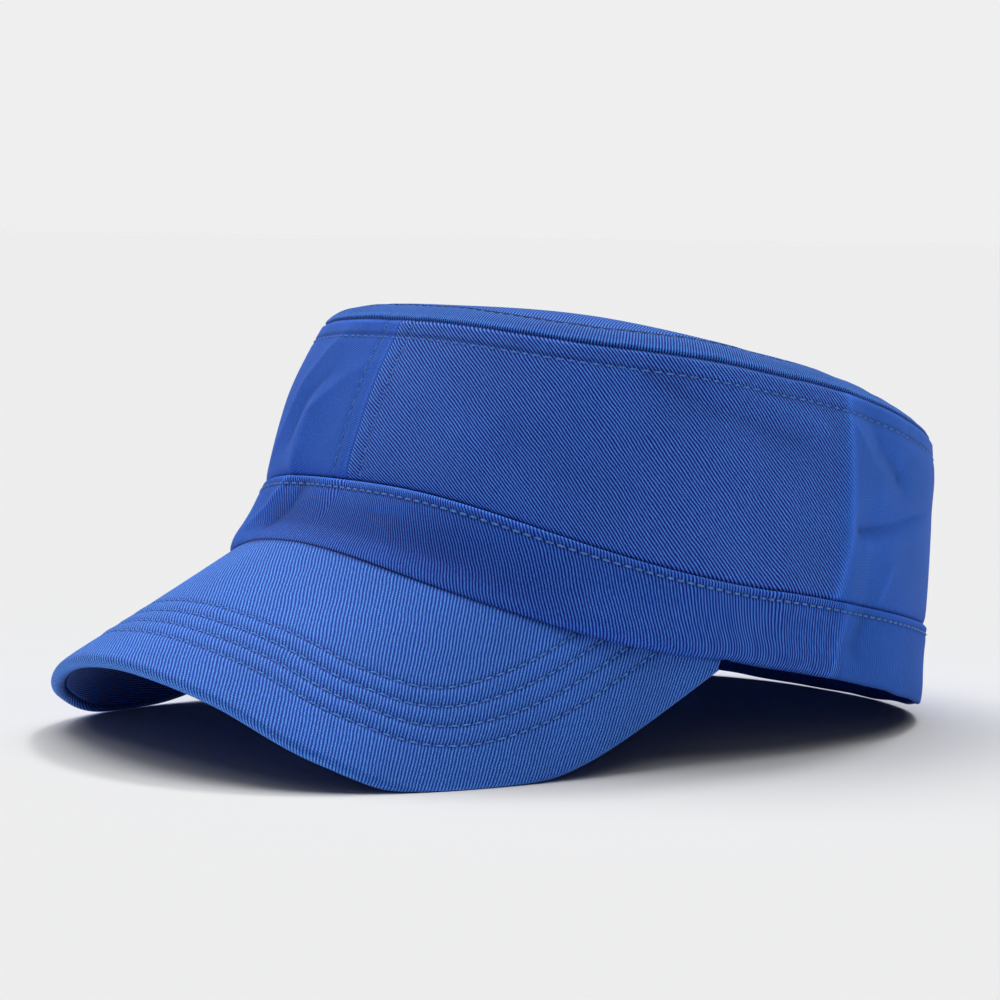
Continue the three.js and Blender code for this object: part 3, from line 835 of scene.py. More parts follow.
@dataclass
class Crown(SubAssembly):
    """The two wall panels, joined at the front and the back and topstitched beside each seam."""

    form: CapForm
    band: Band
    cloth: float = 1.5
    column_step: float = 0.8
    row_step: float = 0.62
    edge_reach: float = 3.0
    edge_rows: int = 16
    seam_columns: int = 9
    seam_crowding: float = 1.4
    seam_gap: float = 0.03
    tuck: float = 0.3
    behind_band: float = 0.05
    rear: Change = Change(1.65, 2.1, 1.0)
    swell: float = 0.8
    swell_right: Change = Change(0.1, 0.6, 0.7)
    rear_corner: Mark = Mark(0.83, 0.15, 1.2)
    stand_out: float = 1.2
    stand_out_reach: float = 1.2
    groove: float = 0.9
    groove_width: float = 0.5
    side_groove: float = 0.25
    top_row: float = 5.0
    seam_row: float = 6.0
    seam_angle: float = 0.002
    row_top: float = 0.985
    dent: float = 0.25
    dent_width: float = 0.8
    puckers: Waves = Waves(5.5, 0.2, 21)
    pucker: Mark = Mark(3.0, 4.0, 1.0)
    broad_waves: Waves = Waves(30, 0.75, 22)
    small_waves: Waves = Waves(13, 0.28, 23)
    # Painted shade along the crown seam, the front and back seams and the stitch rows beside them, a pale
    # rolled edge beside each seam of rubbed wear and painted highlight, and painted shade at the foot under
    # the band.
    wear_and_light_below: tuple[Mark, ...] = (Mark(5.0, 0.55, -0.5), Mark(0, 0.35, -0.6), Mark(1.2, 0.6, 0.2))
    wear_and_light_beside: tuple[Mark, ...] = (Mark(6.0, 0.5, -0.25), Mark(0, 0.2, -0.35), Mark(0.9, 0.5, 0.25))
    painted_shade_foot: Mark = Mark(0, 0.6, -0.8)
    brushed_left: Change = Change(1.67, 1.76, -0.8)
    brushed_right: float = -0.5
    ribbed_back: Change = Change(2.3, 2.9, 0.3)
    stretch_places: Table = (0, 14, 35, 53, 72, 92, 110, 250)
    stretch: Table = (0.74, 0.76, 0.85, 0.97, 1.08, 1.0, 0.93, 0.93)
    thread: Thread = Thread(length=2.6, step=3.2, radius=0.24, lift=0.14)
    folds: tuple[Fold, ...] = ()

    def wall(self, angle: Array, share: Array, inset: float = 0.0) -> Array:
        """A point of a panel's outer face, or at an inset behind it.

        The wall is the straight line from the band's fold to the crown seam, swelled by a sine
        of its height, with folds, grooves at its seams and dents at its stitches.

        Args:
            angle: Round the cap.
            share: 0 at the band's fold and 1 at the crown seam; below 0 behind the band.
            inset: Millimetres inwards.

        Returns:
            Points, upright, in millimetres.
        """
        beneath = np.clip(1 + share, 0, 1)
        behind = self.band.face(angle, beneath) - self.band.cloth - self.behind_band
        tucked = self.band.point(angle, beneath, behind - inset)
        foot = self.band.point(angle, np.ones_like(share), behind)[..., :2]
        seam = self.form.plan(Level.SEAM, angle)
        normal = self.form.plan_normal(Level.SEAM, angle)
        arch = np.maximum(0, np.sin(math.pi * np.clip(share, 0, 1)))
        rise = self.form.panel_rise(angle)
        plain = foot + (seam - foot) * share[..., None]
        place = np.concatenate([plain, (self.form.fold_height(angle) + rise * share)[..., None]], -1)
        rear = self.rear.at(np.abs(angle))
        out = (self.swell * (1 - rear) + self.swell_right.at(-angle)) * arch
        out = out + rear * marked(share, self.rear_corner)
        over = np.maximum(share, 0) * rise
        out = out + self.stand_out * (1 - np.exp(-over / self.stand_out_reach)) * ease(1 - share, 0, 0.5)
        folds = fold_heights(self.folds, angle, share, self.form.mean_radius, self.form.panel_height)
        out = out + folds * np.sqrt(arch)
        below, beside = (1 - share) * rise, np.abs(plain[..., 0])
        seams = bell(below, self.groove_width) + self.side_groove * bell(beside, self.groove_width)
        sewn = bell(below - self.top_row, self.dent_width) + bell(beside - self.seam_row, self.dent_width)
        out = out - self.groove * seams - self.dent * sewn
        near = np.maximum(marked(below, self.pucker), marked(beside, self.pucker))
        out = out + self.puckers.at(place) * near
        out = out + (self.broad_waves.at(place) + self.small_waves.at(place)) * np.sqrt(arch)
        xy = plain + normal * (out - inset)[..., None]
        wall = np.concatenate([xy, place[..., 2:]], -1)
        return np.where((share < 0)[..., None], tucked, wall)

    def _panel(self, name: str, side: int) -> Piece:
        """Builds one panel, with its columns crowded beside the front and back seams.

        Args:
            name: The piece's name.
            side: 1 for the wearer's left and -1 for the right.

        Returns:
            The panel.
        """
        even = self.form.even_angles(Level.SEAM, 0, math.pi, self.column_step)
        near = np.linspace(0, 1, self.seam_columns)[1:-1] ** self.seam_crowding
        tip = 1e-5
        to_back = math.pi - (math.pi - even[-2]) * near[::-1]
        angle = np.concatenate([[tip], even[1] * near, even[1:-1], to_back, [math.pi - tip]])
        angle = side * angle[::side]
        rise = self.form.panel_height
        middle = np.arange(0, 1 - self.edge_reach / rise, self.row_step / rise)
        edge = 1 - np.linspace(self.edge_reach, 0, self.edge_rows) / rise
        rows = np.concatenate([[-self.tuck, -self.tuck / 3], middle, edge])
        grid_angle, grid_share = np.meshgrid(angle, rows, indexing="ij")
        grids = []
        for inset in (0.0, self.cloth):
            grid = self.wall(grid_angle, grid_share, inset)
            grid[..., 0] = side * np.maximum(side * grid[..., 0], self.seam_gap)
            grids.append(grid)
        run = self.form.run_of(Level.SEAM, side * angle[::side])[::side]
        fine = np.linspace(0, run.max(), SAMPLES)
        stretch = smooth_table(self.stretch_places, self.stretch, fine)
        eased = np.interp(run, fine, np.cumsum(stretch) * fine[1])
        uv = np.stack(np.broadcast_arrays(side * eased[:, None], rows[None] * rise), -1)
        # Wear and painted light: painted shade along the seams and stitch rows and at the foot, pale rolled
        # edges, and the folds' pale crests and shaded dents.
        wear_and_painted_light = marked((1 - rows)[None] * rise, *self.wear_and_light_below)
        wear_and_painted_light = wear_and_painted_light + marked(np.abs(grids[0][..., 0]), *self.wear_and_light_beside)
        wear_and_painted_light = wear_and_painted_light + marked(rows[None] * rise, self.painted_shade_foot)
        wear_and_painted_light = wear_and_painted_light + fold_wear_and_light(self.folds, grid_angle, grid_share, self.form.mean_radius, rise)
        nap = 1 + self.brushed_left.at(grid_angle) + (self.brushed_right if side < 0 else 0.0)
        nap = nap + self.ribbed_back.at(np.abs(grid_angle))
        return Shell(*grids, uv, wear_and_painted_light, nap).build(name, self.form)

    def _rows(self) -> Rows:
        """The stitch rows below the crown seam and on each side of the front and back seams.

        Returns:
            For each row, its points and normals.
        """
        end = math.pi - self.seam_angle
        around = self.form.even_angles(Level.SEAM, -end, end, ROW_STEP)
        rows = [on_surface(self.wall, around, 1 - self.top_row / self.form.panel_rise(around))]
        share = np.linspace(0.0, self.row_top, 120)
        tries = np.linspace(1e-4, 0.5, SAMPLES)
        for back in (False, True):
            for side in (-1, 1):
                angle = side * (math.pi - tries if back else tries)
                foot_and_seam = np.array([[0.0], [1.0]]) + 0 * angle
                x = np.abs(self.wall(np.repeat(angle[None], 2, 0), foot_and_seam)[..., 0])
                ends = [np.interp(self.seam_row, line, angle) for line in x]
                rows.append(on_surface(self.wall, ends[0] + (ends[1] - ends[0]) * share, share))
        return rows

    def build(self) -> list[Piece]:
        """Builds both panels and their stitches.

        Returns:
            The left panel, the right panel and the stitches.
        """
        left = self._panel("crown_left_cloth", 1)
        right = self._panel("crown_right_cloth", -1)
        return [left, right, self.thread.sew("crown_stitches", self._rows(), self.form)]


@dataclass
class Top(SubAssembly):
    """The oval top, whose edge rolls down over a sloping strip to the crown seam."""

    form: CapForm
    cloth: float = 1.5
    column_step: float = 1.0
    edge_rows: Table = (0, 0.15, 0.3, 0.45, 0.65, 0.9, 1.2)
    sewn_rows: Table = (-1.0, -0.7, -0.4, -0.15, 0.1)
    inner_rows: Table = (1.008, 1.016, 1.025)
    strip: float = 6.2
    strip_rise: float = 4.4
    strip_unevenness: tuple[Mark, ...] = (Mark(1.35, 0.35, 0.13), Mark(2.15, 0.4, -0.22))
    strip_bias: float = 50.0
    strip_rows: tuple[float, float, int] = (0.22, 0.84, 14)
    dome_rows: tuple[float, float, int] = (1.035, 1.99, 58)
    dome: float = 8.5
    flat_middle: tuple[float, float] = (0.1, 0.7)
    bulge: float = 0.7
    groove: float = 0.8
    groove_width: float = 0.5
    raised: float = 0.25
    seam_dent: Mark = Mark(0, 0.9, 0.2)
    dent: Mark = Mark(0, 0.8, 0.5)
    puckers: Waves = Waves(5.0, 0.18, 31)
    pucker: Mark = Mark(2.0, 3.0, 1.0)
    waves: Waves = Waves(34, 0.8, 32)
    # Painted shade along the stitch row and at the crown seam, and a pale rolled edge beside the seam of
    # rubbed wear and painted highlight.
    painted_shade_row: Mark = Mark(0, 0.55, -0.9)
    wear_and_light_edge: tuple[Mark, ...] = (Mark(0, 0.35, -0.6), Mark(1.3, 0.7, 0.3))
    stitch_row: float = 0.995
    thread: Thread = Thread(length=2.6, step=3.2, radius=0.22, lift=0.12)

    def _level(self, angle: Array, scale: Array, seam: Array) -> Array:
        """The height of the surface that the crown seam spans.

        It is the sum of the seam's waves. Near the middle its tilt from front to back becomes
        that of a plane, so that no point forms.

        Args:
            angle: Round the cap.
            scale: 1 at the strip and 0 in the middle.
            seam: The seam's plan at each angle.

        Returns:
            Heights, upright, in millimetres.
        """
        level = self.form.fold_height(angle, scale) + self.form.panel_rise(angle, scale)
        ends = np.array([0.0, math.pi])
        front, back = self.form.fold_height(ends) + self.form.panel_rise(ends)
        length = np.abs(self.form.plan(Level.SEAM, ends)[:, 1]).mean()
        leaning = (front - back) / 2 * scale * (-seam[..., 1] / length - np.cos(angle))
        return level + leaning * (1 - ease(scale, *self.flat_middle))

    def face(self, angle: Array, row: Array) -> Array:
        """A point of the upper face.

        From row 0 to 1 it crosses the sloping strip in a straight line with a sine's bulge, and
        from 1 to 2 it goes on to the middle over a dome of one minus the square of the scale.

        Args:
            angle: Round the cap.
            row: 0 at the crown seam, 1 at the strip's inner edge, 2 in the middle.

        Returns:
            Points, upright, in millimetres.
        """
        seam = self.form.plan(Level.SEAM, angle)
        radius = np.linalg.norm(seam, axis=-1)
        across = np.clip(row, 0, 1)
        scale = np.clip(2 - row, 0, 1)
        slope = math.hypot(self.strip, self.strip_rise)
        dip = self.groove * bell(across * slope, self.groove_width)
        inside = (radius - self.strip * across - dip) / radius * scale
        uneven = 1 + marked(np.abs(angle), *self.strip_unevenness) * scale**3
        rise = self.strip_rise * uneven * across + self.bulge * np.sin(math.pi * across)
        level = self._level(angle, scale, seam) + rise + self.dome * (1 - scale**2)
        from_seam = np.where(row < 1, across * slope, FAR)
        from_row = np.where(row < 1, (1 - across) * slope, (1 - scale) * radius)
        place = np.concatenate([seam * inside[..., None], level[..., None]], -1)
        down = marked(from_seam, self.seam_dent) + marked(from_row, self.dent) - self.raised
        near = marked(np.minimum(from_seam, from_row), self.pucker)
        wave = self.puckers.at(place) * near + self.waves.at(place) * (1 - scale**4)
        place[..., 2] += wave - down
        return place

    def build(self) -> list[Piece]:
        """Builds the top, whose strip is cut on its own bias, and its row of stitches.

        Returns:
            The top and the stitches.
        """
        angle = self.form.even_angles(Level.SEAM, -math.pi, math.pi, self.column_step)[:-1]
        slope = math.hypot(self.strip, self.strip_rise)
        rows = np.concatenate(
            [
                np.array(self.edge_rows) / slope,
                np.linspace(*self.strip_rows),
                1 + np.array(self.sewn_rows) / slope,
                self.inner_rows,
                np.linspace(*self.dome_rows),
            ]
        )
        grid_angle, grid_row = np.meshgrid(angle, rows, indexing="ij")
        outer = self.face(grid_angle, grid_row)
        inner = outer - np.array([0, 0, self.cloth])
        closed = np.concatenate([outer, outer[:1]])[..., :2]
        run = self.form.run_of(Level.SEAM, np.append(angle, math.pi))[:, None]
        sin, cos = math.sin(self.strip_bias * DEGREE), math.cos(self.strip_bias * DEGREE)
        down = rows * slope
        on_strip = np.stack([run * cos - down * sin, run * sin + down * cos], -1)
        uv = np.where(rows[None, :, None] < 1, on_strip, closed)
        reach = np.where(grid_row < 1, slope, np.linalg.norm(outer[:, :1, :2], axis=-1))
        # Wear and painted light: painted shade along the stitch row and at the seam, and the pale rolled edge.
        wear_and_painted_light = marked(np.abs(grid_row - 1) * reach, self.painted_shade_row)
        wear_and_painted_light = wear_and_painted_light + marked(grid_row * slope, *self.wear_and_light_edge)
        top = Shell(outer, inner, uv, wear_and_painted_light, wraps=True, capped=True).build("crown_top_cloth", self.form)
        around = self.form.even_angles(Level.SEAM, -math.pi, math.pi, ROW_STEP)
        row = on_surface(self.face, around, np.full_like(around, self.stitch_row))
        return [top, self.thread.sew("top_stitches", [row], self.form)]


@dataclass
class Peak(SubAssembly):
    """The rolled peak: an upper cloth that wraps round the rim, an under cloth, and its rows."""

    form: CapForm
    length: float = 61.5
    splay: float = 0.12
    skew: float = 0.025
    shares: Table = (0, 0.25, 0.5, 0.75, 0.9, 1)
    reaches: Table = (0.983, 0.985, 1.045, 0.993, 0.66, 0.06)
    upper_cloth: float = 2.2
    under_cloth: float = 1.3
    gap: float = 0.3
    under_gap: float = 0.05
    tuck: float = 4.5
    lip: float = 1.2
    end_thinning: float = 0.5
    thinning_start: float = 0.8
    column_step: float = 0.62
    rim_rows: int = 19
    upper_rows: int = 90
    under_rows: int = 60
    first_row: float = 13.85
    row_step: float = 5.21
    row_count: int = 4
    dent: float = 0.3
    dent_width: float = 0.75
    quilt: float = 0.16
    waves: Waves = Waves(28, 0.3, 41)
    puckers: Waves = Waves(4.2, 0.1, 42)
    pucker_reach: float = 12.0
    stiff_rim: float = 6.0
    # Painted shade along the stitch rows, a painted shadow just outside the band's hem, a rim paler with
    # rubbed wear, and painted shade under the lip.
    painted_shade_row: Mark = Mark(0, 0.5, -0.5)
    painted_shade_hem: Mark = Mark(4.2, 1.1, -1.1)
    wear_rim: float = 0.35
    painted_shade_lip: float = -0.4
    over_hem: float = 1.0
    ease_middle: float = 0.846
    ease_sides: float = 0.00134
    thread: Thread = Thread(length=2.9, step=3.3, radius=0.22, lift=0.17, sink=0.22)

    @property
    def row_places(self) -> Array:
        """How far inside the rim each stitch row runs."""
        return self.first_row + self.row_step * np.arange(self.row_count)

    def rim(self, angle: Array) -> Array:
        """The rim of the flat cut: the hem moved outwards by the reach, along a turning splay.

        Args:
            angle: Round the cap.

        Returns:
            Distances along and ahead on the flat cut.
        """
        hem = self.form.plan(Level.HEM, angle)
        along, ahead = self.form.on_blank(hem[..., 0], hem[..., 1])
        reach = self.length * smooth_table(self.shares, self.reaches, np.abs(angle) / self.form.peak_end)
        splay = self.splay * angle + self.skew * angle**2
        return np.stack([along + reach * np.sin(splay), ahead + reach * np.cos(splay)], -1)

    def rim_out(self, angle: Array) -> Array:
        """The direction out of the rim on the flat cut, read half a degree to each side.

        Args:
            angle: Round the cap.

        Returns:
            Directions along and ahead.
        """
        end = self.form.peak_end
        turn = self.rim(np.minimum(angle + DEGREE / 2, end)) - self.rim(np.maximum(angle - DEGREE / 2, -end))
        out = np.stack([-turn[..., 1], turn[..., 0]], -1)
        return out / np.linalg.norm(out, axis=-1, keepdims=True)

    def thinning(self, angle: Array) -> Array:
        """How full the cloth is: whole in the middle and thinner at the peak's ends."""
        return 1 - (1 - self.end_thinning) * ease(np.abs(angle) / self.form.peak_end, self.thinning_start, 1)

    def start(self, angle: Array) -> Array:
        """Where the cloth starts on the flat cut, a tuck inside the hem.

        Args:
            angle: Round the cap.

        Returns:
            Distances along and ahead.
        """
        hem = self.form.plan(Level.HEM, angle)
        normal = self.form.plan_normal(Level.HEM, angle)
        along, _ = self.form.on_blank(hem[..., 0], hem[..., 1])
        inside = hem - normal * (self.tuck * np.cos(self.form.roll_turn(along)))[..., None]
        return np.stack(self.form.on_blank(inside[..., 0], inside[..., 1]), -1)

    def rim_distance(self, blank: Array) -> Array:
        """The distance of places on the flat cut from its rim, worked out a few thousand at a time.

        Args:
            blank: Distances along and ahead.

        Returns:
            Distances in millimetres.
        """
        line = self.rim(np.linspace(-self.form.peak_end, self.form.peak_end, 700))
        flat = blank.reshape(-1, 2)
        parts = [
            np.sqrt(((part[:, None] - line[None]) ** 2).sum(-1).min(1))
            for part in np.array_split(flat, max(1, len(flat) // 4000))
        ]
        return np.concatenate(parts).reshape(blank.shape[:-1])

    def spread(self, blank: Array) -> Array:
        """The cloth's place on its bolt: the cut, drawn closer along the cloth near the middle."""
        along = blank[..., 0] * (self.ease_middle + self.ease_sides * np.abs(blank[..., 0]))
        return np.stack([along, blank[..., 1]], -1)

    def relief(self, blank: Array) -> Array:
        """The upper face's relief: dents at the stitch rows, quilting between them, soft waves.

        Args:
            blank: Distances along and ahead.

        Returns:
            Heights in millimetres.
        """
        distance = self.rim_distance(blank)
        rows = self.row_places
        down = sum(bell(distance - row, self.dent_width) for row in rows)
        inside = (distance > rows[0]) & (distance < rows[-1])
        swell = np.where(inside, np.sin(math.pi * (distance - rows[0]) / self.row_step) ** 2, 0)
        place = self.form.peak_point(blank[..., 0], blank[..., 1])
        near = bell(distance - rows.mean(), self.pucker_reach)
        waves = self.waves.at(place) + self.puckers.at(place) * near
        return waves * np.clip(distance / self.stiff_rim, 0, 1) - self.dent * down + self.quilt * swell

    def place(self, blank: Array, depth: Array) -> Array:
        """Points at a depth under the rolled cloth's upper face."""
        _, _, up = self.form.peak_axes(blank[..., 0])
        return self.form.peak_point(blank[..., 0], blank[..., 1]) - up * np.asarray(depth)[..., None]

    def _section(self, angle: Array) -> tuple[Array, ...]:
        """What the upper and the under cloth share at each angle, as columns.

        Args:
            angle: Round the cap.

        Returns:
            The fullness, the upper cloth's thickness, both cloths' thickness, the rim, the
            direction out of it, and where the cloth starts.
        """
        full = self.thinning(angle)[:, None]
        upper = self.upper_cloth * full
        thick = upper + self.gap + self.under_cloth * full
        lines = (self.rim(angle), self.rim_out(angle), self.start(angle))
        return full, upper, thick, *(line[:, None] for line in lines)

    def _upper(self, angle: Array) -> Piece:
        """The upper cloth: the lip, round the rim's half circle, and back over the top.

        Args:
            angle: The columns' angles round the cap.

        Returns:
            The upper cloth.
        """
        full, upper, thick, rim, out, start = self._section(angle)
        radius = thick / 2
        edge = rim - out * radius[..., None]
        inner_edge = rim - out * (radius + self.lip * full)[..., None]
        arc = np.linspace(math.pi, 0, self.rim_rows)[None]
        sideways, forward, up = self.form.peak_axes(edge[..., 0])
        reach = (radius * np.sin(arc))[..., None]
        outwards = sideways * (out[..., :1] * reach) + forward * (out[..., 1:] * reach)
        rolled = self.place(edge, radius) + outwards + up * (radius * np.cos(arc))[..., None]
        back = np.linspace(1, 0, self.upper_rows)[1:][None, :, None]
        blank = start + (edge - start) * back
        under_lip = self.place(inner_edge, thick)[:, :1]
        outer = np.concatenate([under_lip, rolled, self.place(blank, -self.relief(blank))], 1)
        turn_up = thick + (upper - thick) * np.linspace(0, 1, self.rim_rows)[None]
        depth = np.concatenate([thick, turn_up], 1)
        inner_rim = self.place(np.repeat(inner_edge, self.rim_rows + 1, 1), depth)
        inner_flat = self.place(start + (inner_edge - start) * back, np.broadcast_to(upper, blank.shape[:2]))
        inner = np.concatenate([inner_rim, inner_flat], 1)
        inner[:, 0] = (inner[:, 1] + outer[:, 0]) / 2
        under_edge = edge + out * (radius * math.pi + self.lip)[..., None]
        uv = self.spread(np.concatenate([under_edge, edge + out * (radius * arc)[..., None], blank], 1))
        distance = self.rim_distance(blank)
        # Painted shade along the rows, a painted shadow below the band's hem, painted shade under the lip, and
        # a rim paler with rubbed wear.
        sewn = sum(marked(distance - row, self.painted_shade_row) for row in self.row_places)
        shade = marked(np.linalg.norm(blank - start, axis=-1), self.painted_shade_hem)
        rubbed = self.wear_rim * np.sin(arc) ** 4 * np.ones_like(full)
        wear_and_painted_light = np.concatenate([np.full((len(angle), 1), self.painted_shade_lip), rubbed, sewn + shade], 1)
        return Shell(outer, inner, uv, wear_and_painted_light).build("peak_upper_cloth", self.form)

    def _under(self, angle: Array) -> Piece:
        """The under cloth, which ends against the lip of the rolled edge.

        Args:
            angle: The columns' angles round the cap.

        Returns:
            The under cloth.
        """
        full, upper, thick, rim, out, start = self._section(angle)
        edge = rim - out * (thick / 2 + (self.lip + self.gap) * full)[..., None]
        blank = start + (edge - start) * np.linspace(1, 0, self.under_rows)[None, :, None]
        shape = blank.shape[:2]
        outer = self.place(blank, np.broadcast_to(upper + self.under_gap, shape))
        inner = self.place(blank, np.broadcast_to(thick, shape))
        under = Shell(outer, inner, self.spread(blank), np.zeros(shape))
        return under.build("peak_underside_cloth", self.form)

    def _rows(self) -> Rows:
        """The stitch rows: the rim moved inwards on the flat cut, as far as the hem.

        Returns:
            For each row, its points and normals.
        """
        angle = np.linspace(-self.form.peak_end, self.form.peak_end, 1500)
        hem = self.form.plan(Level.HEM, np.linspace(-2, 2, 2001))
        hem_angle, hem_radius = np.arctan2(hem[:, 0], -hem[:, 1]), np.hypot(hem[:, 0], hem[:, 1])
        rows = []
        for row in self.row_places:
            line = self.rim(angle) - self.rim_out(angle) * row
            on_cap = self.form.peak_point(line[:, 0], line[:, 1])
            round_angle = np.arctan2(on_cap[:, 0], -on_cap[:, 1])
            inside = np.interp(round_angle, hem_angle, hem_radius) - self.over_hem
            kept = line[np.hypot(on_cap[:, 0], on_cap[:, 1]) > inside]
            _, _, up = self.form.peak_axes(kept[:, 0])
            rows.append((self.place(kept, -self.relief(kept)), up))
        return rows

    def build(self) -> list[Piece]:
        """Builds the peak's cloths and its stitches.

        Returns:
            The upper cloth, the under cloth and the stitches.
        """
        angle = self.form.even_angles(Level.HEM, -self.form.peak_end, self.form.peak_end, self.column_step)
        upper = self._upper(angle)
        under = self._under(angle[::2] if len(angle) % 2 else angle)
        return [upper, under, self.thread.sew("peak_stitches", self._rows(), self.form)]


class Nodes:
    """Adds shader nodes to a tree, and links them by name."""

    def __init__(self, tree: Tree) -> None:
        """Starts on an empty tree."""
        self.tree = tree
        tree.nodes.clear()

    def add(self, kind: str, inputs: dict | None = None, **settings: object) -> bpy.types.Node:
        """Adds a node.

        Args:
            kind: The node's type, such as ShaderNodeMath.
            inputs: For each input's name or number, a value or an output to link.
            settings: The node's own settings.

        Returns:
            The node.
        """
        node = self.tree.nodes.new(kind)
        for name, value in settings.items():
            setattr(node, name, value)
        self.fill(node, inputs or {})
        return node

    def fill(self, node: bpy.types.Node, inputs: dict) -> None:
        """Sets or links a node's inputs.

        Args:
            node: The node.
            inputs: For each input's name or number, a value or an output to link.
        """
        for name, value in inputs.items():
            socket = node.inputs[name]
            if isinstance(value, Output):
                self.tree.links.new(value, socket)
            else:
                socket.default_value = value

    def math(self, operation: str, *values: object) -> Output:
        """A Math node's result."""
        return self.add("ShaderNodeMath", dict(enumerate(values)), operation=operation).outputs[0]

    def mix(self, share: object, low: object, high: object) -> Output:
        """A colour mixed from two others."""
        return self.add("ShaderNodeMix", {0: share, 6: low, 7: high}, data_type="RGBA").outputs[2]

    def group(self, tree: Tree, inputs: dict) -> bpy.types.bpy_prop_collection:
        """Places a node group.

        Args:
            tree: The group.
            inputs: For each of its inputs, a value or an output to link.

        Returns:
            The group's outputs, by name.
        """
        node = self.add("ShaderNodeGroup", node_tree=tree)
        self.fill(node, inputs)
        return node.outputs

    def scale(self, vector: object, by: object) -> Output:
        """A vector or colour multiplied by a value."""
        return self.add("ShaderNodeVectorMath", {0: vector, 3: by}, operation="SCALE").outputs[0]

    def span(self, value: object, *ends: float) -> Output:
        """A value taken from one range, the first two ends, to another."""
        return self.add("ShaderNodeMapRange", {0: value, **dict(enumerate(ends, 1))}).outputs[0]

    def noise(self, place: object, scale: float, detail: float, rough: float = 0.5) -> Output:
        """A noise value from 0 to 1."""
        inputs = {"Vector": place, "Scale": scale, "Detail": detail, "Roughness": rough}
        return self.add("ShaderNodeTexNoise", inputs).outputs[0]


class Socket(Enum):
    """What a node group's socket carries."""

    VALUE = "NodeSocketFloat"
    PLACE = "NodeSocketVector"
    COLOUR = "NodeSocketColor"


def new_group(name: str, inputs: dict[str, Socket], outputs: dict[str, Socket]) -> tuple[Nodes, object]:
    """Starts a shader node group.

    Args:
        name: The group's name.
        inputs: What each named input carries.
        outputs: What each named output carries.

    Returns:
        The group's nodes, and what its inputs give.
    """
    tree = bpy.data.node_groups.new(name, "ShaderNodeTree")
    for sockets, side in ((inputs, "INPUT"), (outputs, "OUTPUT")):
        for socket, kind in sockets.items():
            tree.interface.new_socket(name=socket, in_out=side, socket_type=kind.value)
    nodes = Nodes(tree)
    return nodes, nodes.add("NodeGroupInput").outputs


@dataclass(frozen=True)
class TwillGroup:
    """The weave that every cloth uses: slanting ribs of twisted yarn, with flecks and faded places.

    The noises are given as their scale per millimetre, their detail and their roughness.
    """

    drift: tuple[float, float] = (0.09, 2.0)
    drift_reach: float = 5.0
    shiver: tuple[float, float] = (0.9, 1.0)
    knot_lean: float = 0.9
    knots_per_rib: float = 1.1
    fleck_stretch: tuple[float, float, float] = (0.7, 2.2, 1.0)
    fleck: tuple[float, float, float] = (1.3, 3.0, 0.65)
    fade: tuple[float, float, float] = (0.035, 3.0, 0.55)
    fuzz: tuple[float, float, float] = (3.5, 2.0, 0.6)
    fuzz_height: float = 0.35

    def build(self) -> Tree:
        """Builds the group once.

        Cloth is a place on the flat cut in millimetres. The place is turned so that one axis
        crosses the ribs and the other runs along them, and wanders by two noises. A rib is half
        a cosine wave across, broken along its length by a slanting cosine wave that starts
        anywhere on each rib.

        Returns:
            The node group.
        """
        value = Socket.VALUE
        nodes, given = new_group(
            "twill weave",
            {"Cloth": Socket.PLACE, "Rib Angle": value, "Rib Step": value, "Wander": value, "Knots": value},
            {"Rib": value, "Fleck": value, "Fade": value, "Height": value},
        )
        math_node = nodes.math
        turn_back = math_node("MULTIPLY", given["Rib Angle"], -1.0)
        inputs = {"Vector": given["Cloth"], "Angle": turn_back}
        turned = nodes.add("ShaderNodeVectorRotate", inputs, rotation_type="Z_AXIS").outputs[0]
        parts = nodes.add("ShaderNodeSeparateXYZ", {0: turned}).outputs
        drift = math_node("SUBTRACT", nodes.noise(turned, *self.drift), 0.5)
        shiver = math_node("SUBTRACT", nodes.noise(turned, *self.shiver), 0.5)
        far = math_node("MULTIPLY", drift, math_node("MULTIPLY", given["Wander"], self.drift_reach))
        moved = math_node("ADD", far, math_node("MULTIPLY", shiver, given["Wander"]))
        across = math_node("DIVIDE", math_node("ADD", parts[1], moved), given["Rib Step"])
        along = math_node("DIVIDE", parts[0], given["Rib Step"])

        def half_cosine(turns: Output, often: float = 1.0) -> Output:
            """A cosine wave from 0 to 1, some waves to each step."""
            wave = math_node("COSINE", math_node("MULTIPLY", turns, 2 * math.pi * often))
            return math_node("MULTIPLY_ADD", wave, 0.5, 0.5)

        number = math_node("ROUND", across)
        lean = math_node("MULTIPLY", math_node("SUBTRACT", across, number), self.knot_lean)
        start = nodes.add("ShaderNodeTexWhiteNoise", {"W": number}, noise_dimensions="1D").outputs["Value"]
        twist = math_node("ADD", math_node("ADD", along, lean), math_node("ADD", start, moved))
        gap = math_node("SUBTRACT", half_cosine(twist, self.knots_per_rib), 1.0)
        rib = math_node("MULTIPLY", half_cosine(across), math_node("MULTIPLY_ADD", gap, given["Knots"], 1.0))
        inputs = {0: turned, 1: self.fleck_stretch}
        stretched = nodes.add("ShaderNodeVectorMath", inputs, operation="MULTIPLY").outputs[0]
        fuzz = nodes.noise(given["Cloth"], *self.fuzz)
        given_out = {
            "Rib": rib,
            "Fleck": nodes.noise(stretched, *self.fleck),
            "Fade": nodes.noise(given["Cloth"], *self.fade),
            "Height": math_node("MULTIPLY_ADD", fuzz, self.fuzz_height, rib),
        }
        nodes.add("NodeGroupOutput", given_out)
        return nodes.tree


